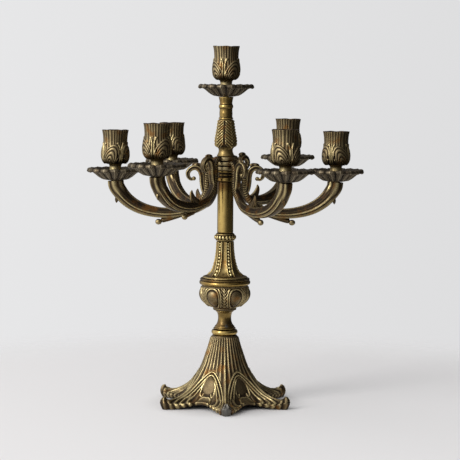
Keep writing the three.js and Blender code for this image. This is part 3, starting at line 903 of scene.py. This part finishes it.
balusterDesign = {
    "leaves": 4,
    "firstLeaf": 37.0,       # degrees from the front
    "leafDepth": 0.9,
    "leafFoot": 9.6,         # height
    "weave": 3.5,            # from one strand to the next
    "around": 320,
    "spacing": 0.26,
}


def baluster():
    d = balusterDesign
    outer = nodeRadius("upper_baluster")
    height = nodeHeight("upper_baluster")
    profile = [(9.8, 0), (10.0, 0.8), (9.2, 2.2), (8.3, 4.6), (8.0, 7.2), (8.6, 9), (10.4, 10.6),
               (outer - 1.1, 12.6), (outer - 0.7, 15.4), (outer - 0.8, 19), (outer - 1.7, 24.5),
               (outer - 2.8, 31), (outer - 3.6, 37), (8.7, height - 1.6), (8.2, height)]

    def detail(angle, r, at):
        x = np.abs(np.radians(fromNearest(angle, d["leaves"], d["firstLeaf"] + front)) * r)
        half = np.radians(180 / d["leaves"]) * r
        # Long leaves with rounded feet, woven either side of a midrib
        reach = half * 0.9 * np.sqrt(np.clip((at - d["leafFoot"]) / 4.5, 0, 1))
        leaf = 1 - smooth(reach - 0.6, reach, x)
        weave = 0.5 + 0.5 * np.cos(2 * math.pi * (at - 0.9 * x) / d["weave"])
        lines = np.maximum(0.6 * crest(x, 0.6), crest(x - reach + 0.8, 0.4))
        body = smooth(9.8, 10.6, at) * (1 - smooth(height - 1.4, height - 0.6, at))
        gain = body * (d["leafDepth"] * leaf * (0.45 + 0.75 * weave + 0.5 * lines) - 0.35)
        worn = mix(0.5, mix(0.1, 0.22 + 0.56 * weave**1.3 + 0.45 * lines, leaf), body)
        return gain, worn

    columnPiece("upper_baluster_casting", "upper_baluster", profile, d, lacqueredBrass,
                detail)


topStemDesign = {
    "grooves": [(2.3, 0.4, 1.0), (17, 0.5, 1.0), (12.2, 0.5, 0.6)],
    "wear": 0.56,
    "around": 128,
    "spacing": 0.28,
}


def upperStem():
    d = topStemDesign
    height = nodeHeight("top_stem")
    profile = [(7.4, 0), (8.1, 0.3), (8.4, 1.0), (8.0, 1.8), (7.4, 2.4), (7.4, 3.6), (7.5, 7), (7.3, 10),
               (7.5, 12.2), (8.0, 13.2), (8.2, 14.6), (7.9, 16), (7.4, 17.0), (7.2, 18.4), (7.4, 20.4),
               (7.8, 22.6), (8.3, 24.6), (8.3, height)]

    def detail(angle, r, at):
        return 0.0, d["wear"] + 0.15 * smooth(7.6, 8.2, r) - 0.4 * grooved(at, d["grooves"])

    columnPiece("top_stem_turning", "top_stem", profile, d, turnedBrass, detail)


for build in (collar, spool, bowl, band, trumpetPiece, knop, tube, hub, baluster, upperStem):
    build()
print("column ready")


# Arms: a swivel ring with two opposite arms in one casting

armDesign = {
    "seatDrop": 14.6,        # seat below the ring's middle
    "seatFrom": 100.0,       # the arm is cut flat at its seat beyond this radius
    "corners": 0.8,          # 1 makes the section an ellipse, less squares it up
    "ridge": 0.75,           # height of the two fine ridges on each side
    "ridges": (1.72, 2.42),  # round the section, 0 inside the curve and pi outside
    "grooves": [(1.93, 0.1, 1.0), (2.63, 0.1, 1.0), (1.5, 0.1, 0.6)],
    "seatFlutes": 3.6,       # on each side, under the seat
    "scaleGap": 2.6,
    "around": 88,
    "along": 230,
}
# Radius, height from the ring's middle, thickness in the arm's plane, width across it
strapLine = [(9.4, 0, 4.8, 5.4), (12.5, 0.3, 5.0, 5.8), (16.9, 0.4, 5.6, 6.2), (20.4, -4, 6.2, 6.6),
             (21.3, -14, 6.6, 6.8), (22.3, -25.8, 6.9, 7.2), (27.1, -36, 7.4, 7.6), (39.1, -46.4, 8.9, 9.0),
             (57.9, -51, 10.9, 10.5), (78.9, -50.7, 12.2, 11.2), (97.7, -45.8, 13.8, 12.0),
             (111.6, -37.4, 15.4, 12.8), (120.9, -27.2, 17.0, 13.4), (125.0, -20.4, 17.8, 13.6),
             (125.8, -14.6, 18.0, 13.8)]
scrollLine = [(22.6, -30.5, 4.0, 5.6), (25.0, -24.5, 6.2, 6.8), (26.4, -16, 6.8, 7.0), (27.0, -8, 6.8, 7.0),
              (29.4, -2.0, 6.8, 6.8), (34.4, 0.8, 6.4, 6.4), (39.8, -0.9, 5.8, 6.0), (43.0, -5.6, 5.2, 5.4),
              (42.0, -10.6, 4.2, 4.6), (38.8, -12.8, 3.4, 4.0), (36.6, -12.0, 2.8, 3.2)]
hornLine = [(49.5, -49.6, 9.4, 7.2), (56.6, -46.4, 9.0, 6.8), (61.6, -41.8, 7.2, 5.8),
            (63.9, -37.0, 4.8, 4.4), (63.3, -32.4, 0.9, 1.0)]
leafLine = [(46.5, -50.8, 7.4, 6.6), (56.5, -54.8, 6.6, 6.2), (66.0, -58.2, 5.8, 5.6),
            (74.0, -60.4, 5.4, 5.2)]
sheathLine = [(115.0, -27.4, 7.0, 9.0), (121.0, -32.0, 6.0, 7.6), (124.0, -36.0, 4.4, 4.8),
              (124.8, -40.6, 1.0, 1.2)]


def sweep(stations, along, around, section, bluntEnd=True):
    # A bar in the XZ plane. Round it, angle 0 faces the inside of the curve and 90 degrees the side.
    line = evenCurve(stations, along)
    centre = np.stack([line[:, 0], 0 * line[:, 0], line[:, 1]], -1)
    tangent = np.gradient(centre, axis=0)
    tangent /= np.linalg.norm(tangent, axis=1, keepdims=True)
    normal = np.stack([-tangent[:, 2], 0 * tangent[:, 0], tangent[:, 0]], -1)
    angle = anglesAround(around)
    share = np.linspace(0, 1, along)[:, None]
    power = armDesign["corners"]
    n = np.sign(np.cos(angle)) * np.abs(np.cos(angle)) ** power * line[:, 2:3] / 2
    b = np.sign(np.sin(angle)) * np.abs(np.sin(angle)) ** power * line[:, 3:4] / 2
    # Rounded ends
    nearest = np.minimum(share, 1 - share) if bluntEnd else share
    ends = np.sqrt(np.clip(nearest * along / 3.0, 0.02, 1))
    n, b = n * ends, b * ends
    grid = centre[:, None] + normal[:, None] * n[..., None] + np.array([0, 1, 0.0]) * b[..., None]
    length = np.linalg.norm(np.diff(centre, axis=0), axis=1).sum()
    side = np.abs((angle + math.pi) % (2 * math.pi) - math.pi)
    height, worn = section(side, share, share * length, line)
    return shellFrom(raised(grid, height, closed=False), worn, closed=False)


def armSection(side, share, run, line):
    # side runs from 0 on the inner edge to pi on the outer edge
    d = armDesign
    thick = line[:, 2:3]
    size = np.clip(thick / 11.0, 0.45, 1.2)
    onArm = smooth(7.5, 9.4, thick)
    ridges = sum(crest(side - at, 0.085) for at in d["ridges"])
    grooves = grooved(side, d["grooves"])
    panel = smooth(0.42, 0.62, side) * (1 - smooth(1.22, 1.38, side))
    edge = crest(side - 0.36, 0.12)
    armHeight = size * (d["ridge"] * ridges - 0.5 * grooves - 0.85 * panel + 0.25 * edge)
    lower = smooth(1.95, 2.1, side) * (1 - smooth(2.2, 2.35, side))
    armWorn = 0.4 + 0.6 * ridges - 0.36 * grooves - 0.27 * panel + 0.3 * edge + 0.2 * lower
    # Flutes under the seat
    nearSeat = smooth(0.86, 0.95, share)
    flute = np.abs(np.cos(side * d["seatFlutes"]))
    armHeight = mix(armHeight, 0.75 * flute - 0.4, nearSeat)
    armWorn = mix(armWorn, 0.2 + 0.65 * flute**2, nearSeat)
    # The drop beside the column carries a scaly band between two fillets
    band = 1 - smooth(0.42, 0.62, np.abs(side - math.pi / 2))
    scale = np.abs(np.sin(math.pi * (run / d["scaleGap"] + 0.35 * np.abs(side - math.pi / 2))))
    fillets = crest(side - 0.8, 0.11) + crest(side - 2.35, 0.11)
    dropHeight = 0.7 * band * scale - 0.3 * band + 0.4 * fillets
    dropWorn = 0.14 + band * (0.8 * scale**2 - 0.06) + 0.5 * fillets
    return mix(dropHeight, armHeight, onArm), mix(dropWorn, armWorn, onArm)


def twinSection(side, share, run, line):
    # Two rounded ridges with a dark groove between them
    groove = crest(side - math.pi / 2, 0.2) + 0.8 * crest(side - math.pi, 0.16)
    ridges = crest(side - 1.05, 0.22) + crest(side - 2.15, 0.22)
    beads = np.abs(np.sin(math.pi * run / 2.4)) * crest(side - 2.5, 0.3)
    return 0.32 * ridges - 0.35 * groove + 0.25 * beads, 0.42 + 0.45 * ridges - 0.38 * groove + 0.3 * beads


def leafSection(side, share, run, line):
    rib = crest(side, 0.25) + crest(side - math.pi, 0.3)
    groove = crest(side - 0.9, 0.2) + crest(side - 2.2, 0.2)
    size = np.clip(line[:, 2:3] / 4, 0.1, 1)
    return size * (0.3 * rib - 0.3 * groove), 0.42 + 0.4 * rib - 0.3 * groove


def blob(centre, radii, around=26, rows=16, ribs=0):
    # A small rounded knob, with ribs if it is a bud
    tilt = (np.arange(rows)[:, None] + 0.5) / rows * math.pi
    angle = anglesAround(around)
    swell = 1 + 0.1 * np.cos(ribs * angle) if ribs else 1
    grid = aroundAxis(np.sin(tilt) * swell, np.cos(tilt), angle) * radii + centre
    return shellFrom(grid, 0.4 + 0.25 * np.cos(ribs * angle), closed=False)


ringDesign = {"wear": 0.74, "around": 128, "spacing": 0.3}


def swivelRing():
    # Three rings and four clearances fill the height between the hub and the baluster
    d = ringDesign
    half = (nodeBottom("upper_baluster") - nodeTop("hub_collar") - 4 * clearance) / 6
    outer = nodeRadius("hub_collar")
    profile = [(outer - 2.6, -half), (outer - 1.2, -half + 0.12), (outer - 0.2, -half + 1.1), (outer, 0),
               (outer - 0.2, half - 1.1), (outer - 1.2, half - 0.12), (outer - 2.6, half)]
    strokes = [profile, [profile[-1], (boreRadius, half)], [(boreRadius, half), (boreRadius, -half)],
               [(boreRadius, -half), profile[0]]]

    def detail(angle, r, z):
        return 0.0, d["wear"] * smooth(outer - 1.0, outer - 0.1, r)

    return turning(strokes, d["around"], [d["spacing"]] + [hiddenSpacing] * 3, detail)


def oneArm():
    # Each bar is given its stations, its points along and its points around
    d = armDesign
    vertices, triangles, worn = joined([
        sweep(strapLine, d["along"], d["around"], armSection, bluntEnd=False),
        sweep(scrollLine, 110, 40, twinSection),
        sweep(hornLine, 44, 28, leafSection),
        sweep(leafLine, 40, 28, leafSection),
        sweep(sheathLine, 36, 30, leafSection),
        blob((76.4, 0, -61.8), (3.8, 3.2, 3.3)),
        blob((36.2, 0, -11.9), (2.4, 2.5, 2.4)),
        blob((32.6, 0, 3.6), (5.6, 3.1, 2.7), ribs=5),
    ])
    x, z = vertices[:, 0], vertices[:, 2]
    vertices[:, 2] = np.where(x > d["seatFrom"], np.minimum(z, -d["seatDrop"]), z)
    return vertices, triangles, worn


armShell = oneArm()
pairShell = joined([swivelRing(), armShell, moved(armShell, 180)])


def armPair(name, body):
    pan = nodeCentre(f"pan_{name}_a")
    turn = math.degrees(math.atan2(pan[1], pan[0]))
    middle = nodeBottom(f"pan_{name}_a") - clearance + armDesign["seatDrop"]
    pair = moved(pairShell, turn, (0, 0, middle))
    makePiece(f"{name}_arm_casting", pair, castBrass, body, f"{name}_arms")


pairs = {"lower": "lower_pair", "middle": "middle_pair", "upper": "upper_pair"}
for name, body in pairs.items():
    armPair(name, body)
print("arms ready")


# Drip pans: shallow dishes whose sixteen petals curl down at the rim

panDesign = {
    "petals": 16,
    "notch": 1.7,            # how far the rim draws in between two petals
    "curl": 1.0,
    "veinGap": 2.1,
    "floor": 3.2,            # height of the flat middle
    "around": 288,
    "spacing": 0.5,
}


def dripPan():
    d = panDesign
    floor = d["floor"]
    under = [(8.6, 0), (11.4, 0.5), (15.0, 2.0), (18.9, 4.3), (22.3, 7.0), (25.0, 9.1), (27.2, 10.1)]
    lip = [(28.8, 10.0), (30.4, 9.6), (31.6, 10.4), (31.9, 11.8), (31.3, 13.1), (29.8, 13.9)]
    top = [(27.6, 13.6), (24.6, 12.0), (21.4, 9.4), (18, 6.8), (14.6, 4.6), (11, 3.3), (8.4, floor)]
    outer = under + lip + top
    strokes = [outer, [outer[-1], (boreRadius, floor)], [(boreRadius, floor), (boreRadius, 0)],
               [(boreRadius, 0), outer[0]]]
    line, owner = outline(strokes, [d["spacing"]] + [hiddenSpacing] * 3)
    angle = anglesAround(d["around"])
    r, z = line[:, :1], line[:, 1:]
    petal = np.abs(np.cos(angle * d["petals"] / 2)) ** 0.45
    isUnder = smooth(0, 1, np.arange(len(line))[:, None] < np.argmax(line[:, 0]))
    notched = r - d["notch"] * smooth(19, 31, r) * (1 - petal)
    curlUnder = d["curl"] * smooth(25, 31, r) * (1 - petal) * isUnder
    curlTop = 0.7 * smooth(26, 30, r) * (1 - petal) * (1 - isUnder)
    grid = aroundAxis(notched, z + curlUnder - curlTop, angle)
    # Beneath, an acanthus leaf runs out to each petal, with a rib and two side veins
    x = np.radians(fromNearest(np.degrees(angle), d["petals"])) * r
    grow = smooth(11, 15, r)
    rib = crest(x, 0.35 + 0.015 * r)
    # Veins slant off the rib like the barbs of a feather
    slant = 0.5 + 0.5 * np.cos(2 * math.pi * (r - 0.9 * np.abs(x)) / d["veinGap"])
    veins = slant * (1 - rib) * smooth(14, 17, r)
    between = crest(np.abs(x) - np.radians(180 / d["petals"]) * r, 0.75)
    leaf = grow * (0.75 * rib + 0.4 * veins - 1.1 * between)
    wornUnder = mix(0.5, 0.28 + 0.5 * rib + 0.4 * veins - 0.5 * between, grow)
    # On top, soft hollows between the petals and one turned ring in the middle
    hollows = between * smooth(18, 26, r)
    wornTop = 0.3 + 0.35 * smooth(25, 30, r) * petal - 0.25 * hollows + 0.15 * crest(r - 12.4, 0.6)
    heightTop = 0.35 * (rib * smooth(20, 27, r) - hollows)
    onOuter = (owner == 0)[:, None]
    height = np.where(onOuter, mix(heightTop, leaf, isUnder), 0)
    worn = np.where(onOuter, mix(wornTop, wornUnder, isUnder), 0.3)
    worn = mix(worn, 0.12 + 0.38 * petal + 0.25 * rib, smooth(28.5, 31, r) * onOuter)
    return shellFrom(raised(grid, height), worn)


# Candle cups: tulips with four acanthus lobes and paired stems between them

cupDesign = {
    "socketRadius": 11.5,
    "socketDepth": 25,
    "lobes": 4,
    "lobeHalfWidth": 9.4,
    "lobeFoot": 16.5,        # height
    "lobeHeight": 21.5,
    "lobeDome": 1.1,
    "lean": 0.34,            # sideways for each millimetre up
    "arcs": 5,
    "arcDepth": 0.9,
    "flutes": 27,
    "fluteDepth": 0.5,
    "stemHeight": 1.2,
    "stemTop": 38.6,
    "slotDepth": 1.6,
    "measureRadius": 15.0,   # widths round the cup are measured at this radius
    "around": 224,
    "spacings": [0.42, 0.8, 1.2, 3.0, 6.0, 2.0, 3.0, 2.5],       # stretch by stretch of the outline
}


def candleCup():
    d = cupDesign
    height = nodeHeight("cup_centre")
    socket = d["socketRadius"]
    floor = height - d["socketDepth"]
    outer = [(7.4, 0), (7.9, 0.5), (8.1, 1.8), (7.7, 3.0), (7.0, 4.0), (7.0, 5.2), (7.6, 5.9), (7.7, 6.9),
             (7.1, 7.8), (6.8, 9.5), (6.9, 13.2), (7.8, 14.8), (10.8, 16.2), (12.9, 18.4), (14.2, 21.4),
             (14.7, 25.0), (14.7, 28.8), (14.4, 32.4), (13.9, 36.4), (13.6, 40.6), (13.7, 44.6),
             (14.0, 48.6), (14.6, 52.4), (15.1, height)]
    corners = [outer[-1], (socket, height), (socket, floor), (0.6, floor), (0.6, 14), (boreRadius, 14),
               (boreRadius, 0), outer[0]]
    strokes = [outer] + [corners[k:k + 2] for k in range(len(corners) - 1)]
    line, owner = outline(strokes, d["spacings"])
    angle = anglesAround(d["around"])
    degrees = np.degrees(angle)
    r, z = line[:, :1], line[:, 1:]
    onOuter = (owner == 0)[:, None]
    # The rim waves a little, and flares unevenly
    upper = smooth(36, height, z)
    wave = 0.55 * np.cos(5 * angle + 0.6) + 0.35 * np.cos(9 * angle + 2.0)
    waved = z - upper * (0.5 + 0.4 * wave) * (z > floor + 10)
    grid = aroundAxis(r + upper * 0.25 * wave * onOuter, waved, angle)
    # Uneven upright flutes
    phase = d["flutes"] * angle + 1.3 * np.sin(3 * angle + 1) + 0.7 * np.sin(7 * angle)
    flute = np.abs(np.cos(phase / 2))
    fluted = smooth(26, 32, z)
    gain = d["fluteDepth"] * (flute - 0.5) * fluted
    worn = mix(0.1, 0.08 + 0.6 * flute**0.8, fluted)
    # Acanthus lobes whose veins nest like onion skins, every other lobe leaning the other way
    sector = 360 / d["lobes"]
    lean = np.where(np.floor((degrees + sector / 2) / sector) % 2 > 0, d["lean"], -d["lean"])
    x = np.radians(fromNearest(degrees, d["lobes"])) * d["measureRadius"] + lean * (z - 26)
    up = np.clip((z - d["lobeFoot"]) / d["lobeHeight"], 0, 2)
    down = np.clip((d["lobeFoot"] - z) / 3.0, 0, 2)
    bulge = 1 + 0.18 * np.sin(math.pi * np.clip(up, 0, 1)) - 0.22 * (1 - smooth(0, 0.25, up))
    rho = np.sqrt((x / (d["lobeHalfWidth"] * bulge)) ** 2 + up**2.2 + down**2)
    inLobe = 1 - smooth(0.97, 1.03, rho)
    arc = np.abs(np.sin(math.pi * d["arcs"] * (rho + 0.03 * np.sin(z / 3)))) ** 0.6
    dome = np.sqrt(np.clip(1 - rho**2, 0, 1)) ** 0.7
    lobe = 0.4 + d["lobeDome"] * dome + d["arcDepth"] * (arc - 0.5) * smooth(0, 0.15, rho)
    gain = mix(gain, lobe, inLobe)
    worn = mix(worn, 0.02 + 0.68 * arc**1.3, inLobe)
    # Paired stems with flared tips
    off = np.abs(np.radians(fromNearest(degrees, d["lobes"], sector / 2)) * d["measureRadius"])
    spread = 1.15 + 1.8 * smooth(32, 39.5, z) + 0.3 * (1 - smooth(17, 22, z))
    tall = smooth(d["lobeFoot"], 18, z) * (1 - smooth(38.8, 40.2, z))
    stem = halfRound(off - spread, 0.95) * tall
    tip = halfRound(np.sqrt((off - 3.5) ** 2 + (z - d["stemTop"]) ** 2), 1.6)
    growth = np.maximum(stem, tip)
    gain = np.where(growth > 0, np.maximum(gain, d["stemHeight"] * growth), gain)
    worn = np.maximum(worn, 0.9 * growth)
    # Drilled slots beside the stems
    slot = np.clip(1 - ((off - 3.9) / 0.7) ** 2 - ((z - 24.5) / 2.4) ** 2, 0, 1)
    gain = gain - d["slotDepth"] * np.sqrt(slot)
    worn = worn * (1 - smooth(0, 0.3, slot))
    # Plain neck: bright from wear and also from a painted highlight, as it sits in the pan's shade; darker
    # where it flares into the cup
    neck = 1 - smooth(15.4, 16.8, z)
    neckWearAndHighlight = 0.8 + 0.1 * smooth(7.2, 7.7, r) - 0.45 * crest(z - 4.6, 0.5) - 0.3 * smooth(14.2, 16, z)
    gain = gain * (1 - neck) * (1 - smooth(height - 0.5, height, z))
    worn = np.where(onOuter, mix(worn, neckWearAndHighlight, neck), 0.22)
    grid = raised(grid, np.where(onOuter, gain, 0))
    grid[..., 2] = np.minimum(grid[..., 2], height)
    return shellFrom(grid, worn)


panShell = dripPan()
cupShell = candleCup()
# Each light is turned its own way, in degrees, as it was screwed on
lightTurns = {"centre": 305.0, "lower_a": 20.0, "lower_b": 75.0, "middle_a": 40.0, "middle_b": 338.0,
              "upper_a": 10.0, "upper_b": 300.0}


def onNode(shell, turn, node):
    x, y = nodeCentre(node)[:2]
    return moved(shell, turn, (x, y, nodeBottom(node)))


def addLight(name, body):
    turn = lightTurns[name]
    pan = onNode(panShell, turn / 3, f"pan_{name}")
    makePiece(f"pan_{name}_casting", pan, panBrass, body, f"pan_{name}")
    cup = onNode(cupShell, turn, f"cup_{name}")
    makePiece(f"cup_{name}_casting", cup, castBrass, body, f"cup_{name}")


addLight("centre", "stand")
for name, body in pairs.items():
    for side in "ab":
        addLight(f"{name}_{side}", body)
print("lights ready")

# Rod, nut, washer and studs keep their CAD shapes
for name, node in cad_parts.items():
    if name.startswith(("tie_rod", "base_nut", "base_washer", "stud_")):
        node.data.materials.clear()
        node.data.materials.append(steel)


# Studio

studio = {
    "eye": (0.0055, -2.02, 0.386),
    "aimHeight": 0.2008,
    "lens": 138.5,
    "sensor": 36.0,
    "roll": 0.4,             # degrees
    "floor": "#CBC9C8",
    "floorRadius": 0.62,
    "floorFade": (0.55, 0.98),       # shares of its radius
    "floorGlow": 0.16,
    "paintedShadeEdge": (0.055, 0.1),        # painted shade: no glow nearer the foot, so the paper there looks shaded
    "backdrop": "#E3E3E4",
    "backdropRadius": 6.0,
    "backdropPaintedSlope": (1.035, 0.955),         # painted light: brightness on the left and on the right
    "brightSide": (-0.80, -0.30, 0.52),
    "worldStrength": 1.25,
    "worldGreys": [(0.0, 0.035), (0.4, 0.07), (0.58, 0.22), (0.78, 0.82), (1.0, 1.2)],
    "window": {"azimuth": -52, "elevation": 28, "distance": 3.2, "height": 0.25, "size": (1.1, 2.2),
               "watts": 66.0},
}


def meshObject(name, vertices, faces, material):
    mesh = bpy.data.meshes.new(name)
    mesh.from_pydata(vertices, [], faces)
    mesh.materials.append(material)
    return linked(name, mesh)


def bandFaces(first, second, count):
    # Four-sided faces between two rings of vertices, given by where each ring starts
    after = [(k + 1) % count for k in range(count)]
    return [(first + k, second + k, second + after[k], first + after[k]) for k in range(count)]


def addCamera():
    camera = linked("camera", bpy.data.cameras.new("camera"))
    eye = studio["eye"]
    camera.location = eye
    tilt = math.atan2(eye[2] - studio["aimHeight"], -eye[1])
    camera.rotation_euler = Euler((math.pi / 2 - tilt, 0, 0))
    camera.rotation_euler.rotate_axis("Z", math.radians(studio["roll"]))
    camera.data.lens = studio["lens"]
    camera.data.sensor_width = studio["sensor"]
    bpy.context.scene.camera = camera


def paperMaterial():
    # Matt seamless paper with a soft glow that brightens it evenly, left out near the foot as painted
    # shade, and fading to nothing at its edge
    material, tree, shader, place = newMaterial("matt_seamless_paper")
    shader.inputs["Roughness"].default_value = 0.9
    shader.inputs["Base Color"].default_value = linear(studio["floor"])
    shader.inputs["Emission Color"].default_value = linear("#FFFFFF")
    distance = addNode(tree, "ShaderNodeVectorMath", {"operation": "LENGTH"}, {0: place})
    paintedShadeInner, paintedShadeOuter = studio["paintedShadeEdge"]
    # Painted shade: the glow is left out near the foot, so the paper there looks as if the base shades it
    glow = addNode(tree, "ShaderNodeMapRange",
                   {"From Min": paintedShadeInner, "From Max": paintedShadeOuter, "To Max": studio["floorGlow"],
                    "interpolation_type": "SMOOTHSTEP"},
                   {"Value": distance.outputs["Value"]})
    tree.links.new(glow.outputs["Result"], shader.inputs["Emission Strength"])
    fadeLow, fadeHigh = (studio["floorRadius"] * share for share in studio["floorFade"])
    fade = addNode(tree, "ShaderNodeMapRange",
                   {"From Min": fadeLow, "From Max": fadeHigh, "interpolation_type": "SMOOTHSTEP"},
                   {"Value": distance.outputs["Value"]})
    clear = addNode(tree, "ShaderNodeBsdfTransparent")
    soft = addNode(tree, "ShaderNodeMixShader",
                   links={0: fade.outputs["Result"], 1: shader.outputs["BSDF"], 2: clear.outputs["BSDF"]})
    output = next(node for node in tree.nodes if node.type == "OUTPUT_MATERIAL")
    tree.links.new(soft.outputs["Shader"], output.inputs["Surface"])
    return material


def addFloor():
    # A round sheet of pale paper that fades out into the backdrop
    count = 96
    rings = studio["floorRadius"] * np.array([[0.3], [0.6], [1.0]])
    vertices = aroundAxis(rings, 0, anglesAround(count)).reshape(-1, 3)
    faces = [(0, 1 + k, 1 + (k + 1) % count) for k in range(count)]
    for ring in range(len(rings) - 1):
        faces += bandFaces(1 + ring * count, 1 + (ring + 1) * count, count)
    floor = meshObject("floor", [(0, 0, 0)] + vertices.tolist(), faces, paperMaterial())


def backdropMaterial():
    # Glowing paper with painted light: a little brighter on the left, the window's side
    material = bpy.data.materials.new("backdrop_paper_painted_light")
    tree = emptyTree(material)
    place = addNode(tree, "ShaderNodeTexCoord")
    split = addNode(tree, "ShaderNodeSeparateXYZ", links={0: place.outputs["Object"]})
    left, right = studio["backdropPaintedSlope"]
    # Painted light: the glow is stronger on the left than on the right
    slope = addNode(tree, "ShaderNodeMapRange",
                    {"From Min": -1.0, "From Max": 1.0, "To Min": left, "To Max": right},
                    {"Value": split.outputs["X"]})
    glow = addNode(tree, "ShaderNodeEmission", {"Color": linear(studio["backdrop"])},
                   {"Strength": slope.outputs["Result"]})
    addNode(tree, "ShaderNodeOutputMaterial", links={"Surface": glow.outputs["Emission"]})
    material.cycles.emission_sampling = "NONE"
    return material


def addBackdrop():
    # A pale shell that only the camera sees. The world lights the brass.
    rows, columns, radius = 24, 48, studio["backdropRadius"]
    tilt = math.pi * np.arange(rows + 1)[:, None] / rows
    vertices = aroundAxis(radius * np.sin(tilt), radius * np.cos(tilt), anglesAround(columns))
    faces = []
    for row in range(rows):
        faces += bandFaces((row + 1) * columns, row * columns, columns)
    shell = meshObject("backdrop", vertices.reshape(-1, 3).tolist(), faces, backdropMaterial())
    for kind in ("diffuse", "glossy", "transmission", "volume_scatter", "shadow"):
        setattr(shell, "visible_" + kind, False)


def addWorld():
    # Bright to the left and above, dark to the right and front, as in a room with one window
    world = bpy.data.worlds.new("studio_light")
    bpy.context.scene.world = world
    tree = emptyTree(world)
    place = addNode(tree, "ShaderNodeTexCoord")
    facing = addNode(tree, "ShaderNodeVectorMath", {"operation": "DOT_PRODUCT", 1: studio["brightSide"]},
                     {0: place.outputs["Generated"]})
    share = addNode(tree, "ShaderNodeMapRange", {"From Min": -1.0, "From Max": 1.0},
                    {"Value": facing.outputs["Value"]})
    tones = addNode(tree, "ShaderNodeValToRGB", links={"Fac": share.outputs["Result"]})
    # The greys lean a little to blue
    grey = fillRamp(tones, [(at, (tone, tone, tone * 1.02, 1)) for at, tone in studio["worldGreys"]])
    light = addNode(tree, "ShaderNodeBackground", {"Strength": studio["worldStrength"]}, {"Color": grey})
    addNode(tree, "ShaderNodeOutputWorld", links={"Surface": light.outputs["Background"]})


def addWindow():
    # A soft rectangular light that faces the column
    d = studio["window"]
    data = bpy.data.lights.new("window", "AREA")
    data.shape = "RECTANGLE"
    data.size, data.size_y = d["size"]
    data.energy = d["watts"]
    lamp = linked("window", data)
    azimuth, elevation = math.radians(d["azimuth"]), math.radians(d["elevation"])
    out = d["distance"] * math.cos(elevation)
    lamp.location = (out * math.sin(azimuth), -out * math.cos(azimuth),
                     d["height"] + d["distance"] * math.sin(elevation))
    lamp.rotation_euler = Euler((math.pi / 2 - elevation, 0, azimuth))
    lamp.visible_camera = False


addCamera()
addFloor()
addBackdrop()
addWorld()
addWindow()
scene = bpy.context.scene
scene.view_settings.view_transform = "Standard"
scene.cycles.use_denoising = True
print("studio ready")
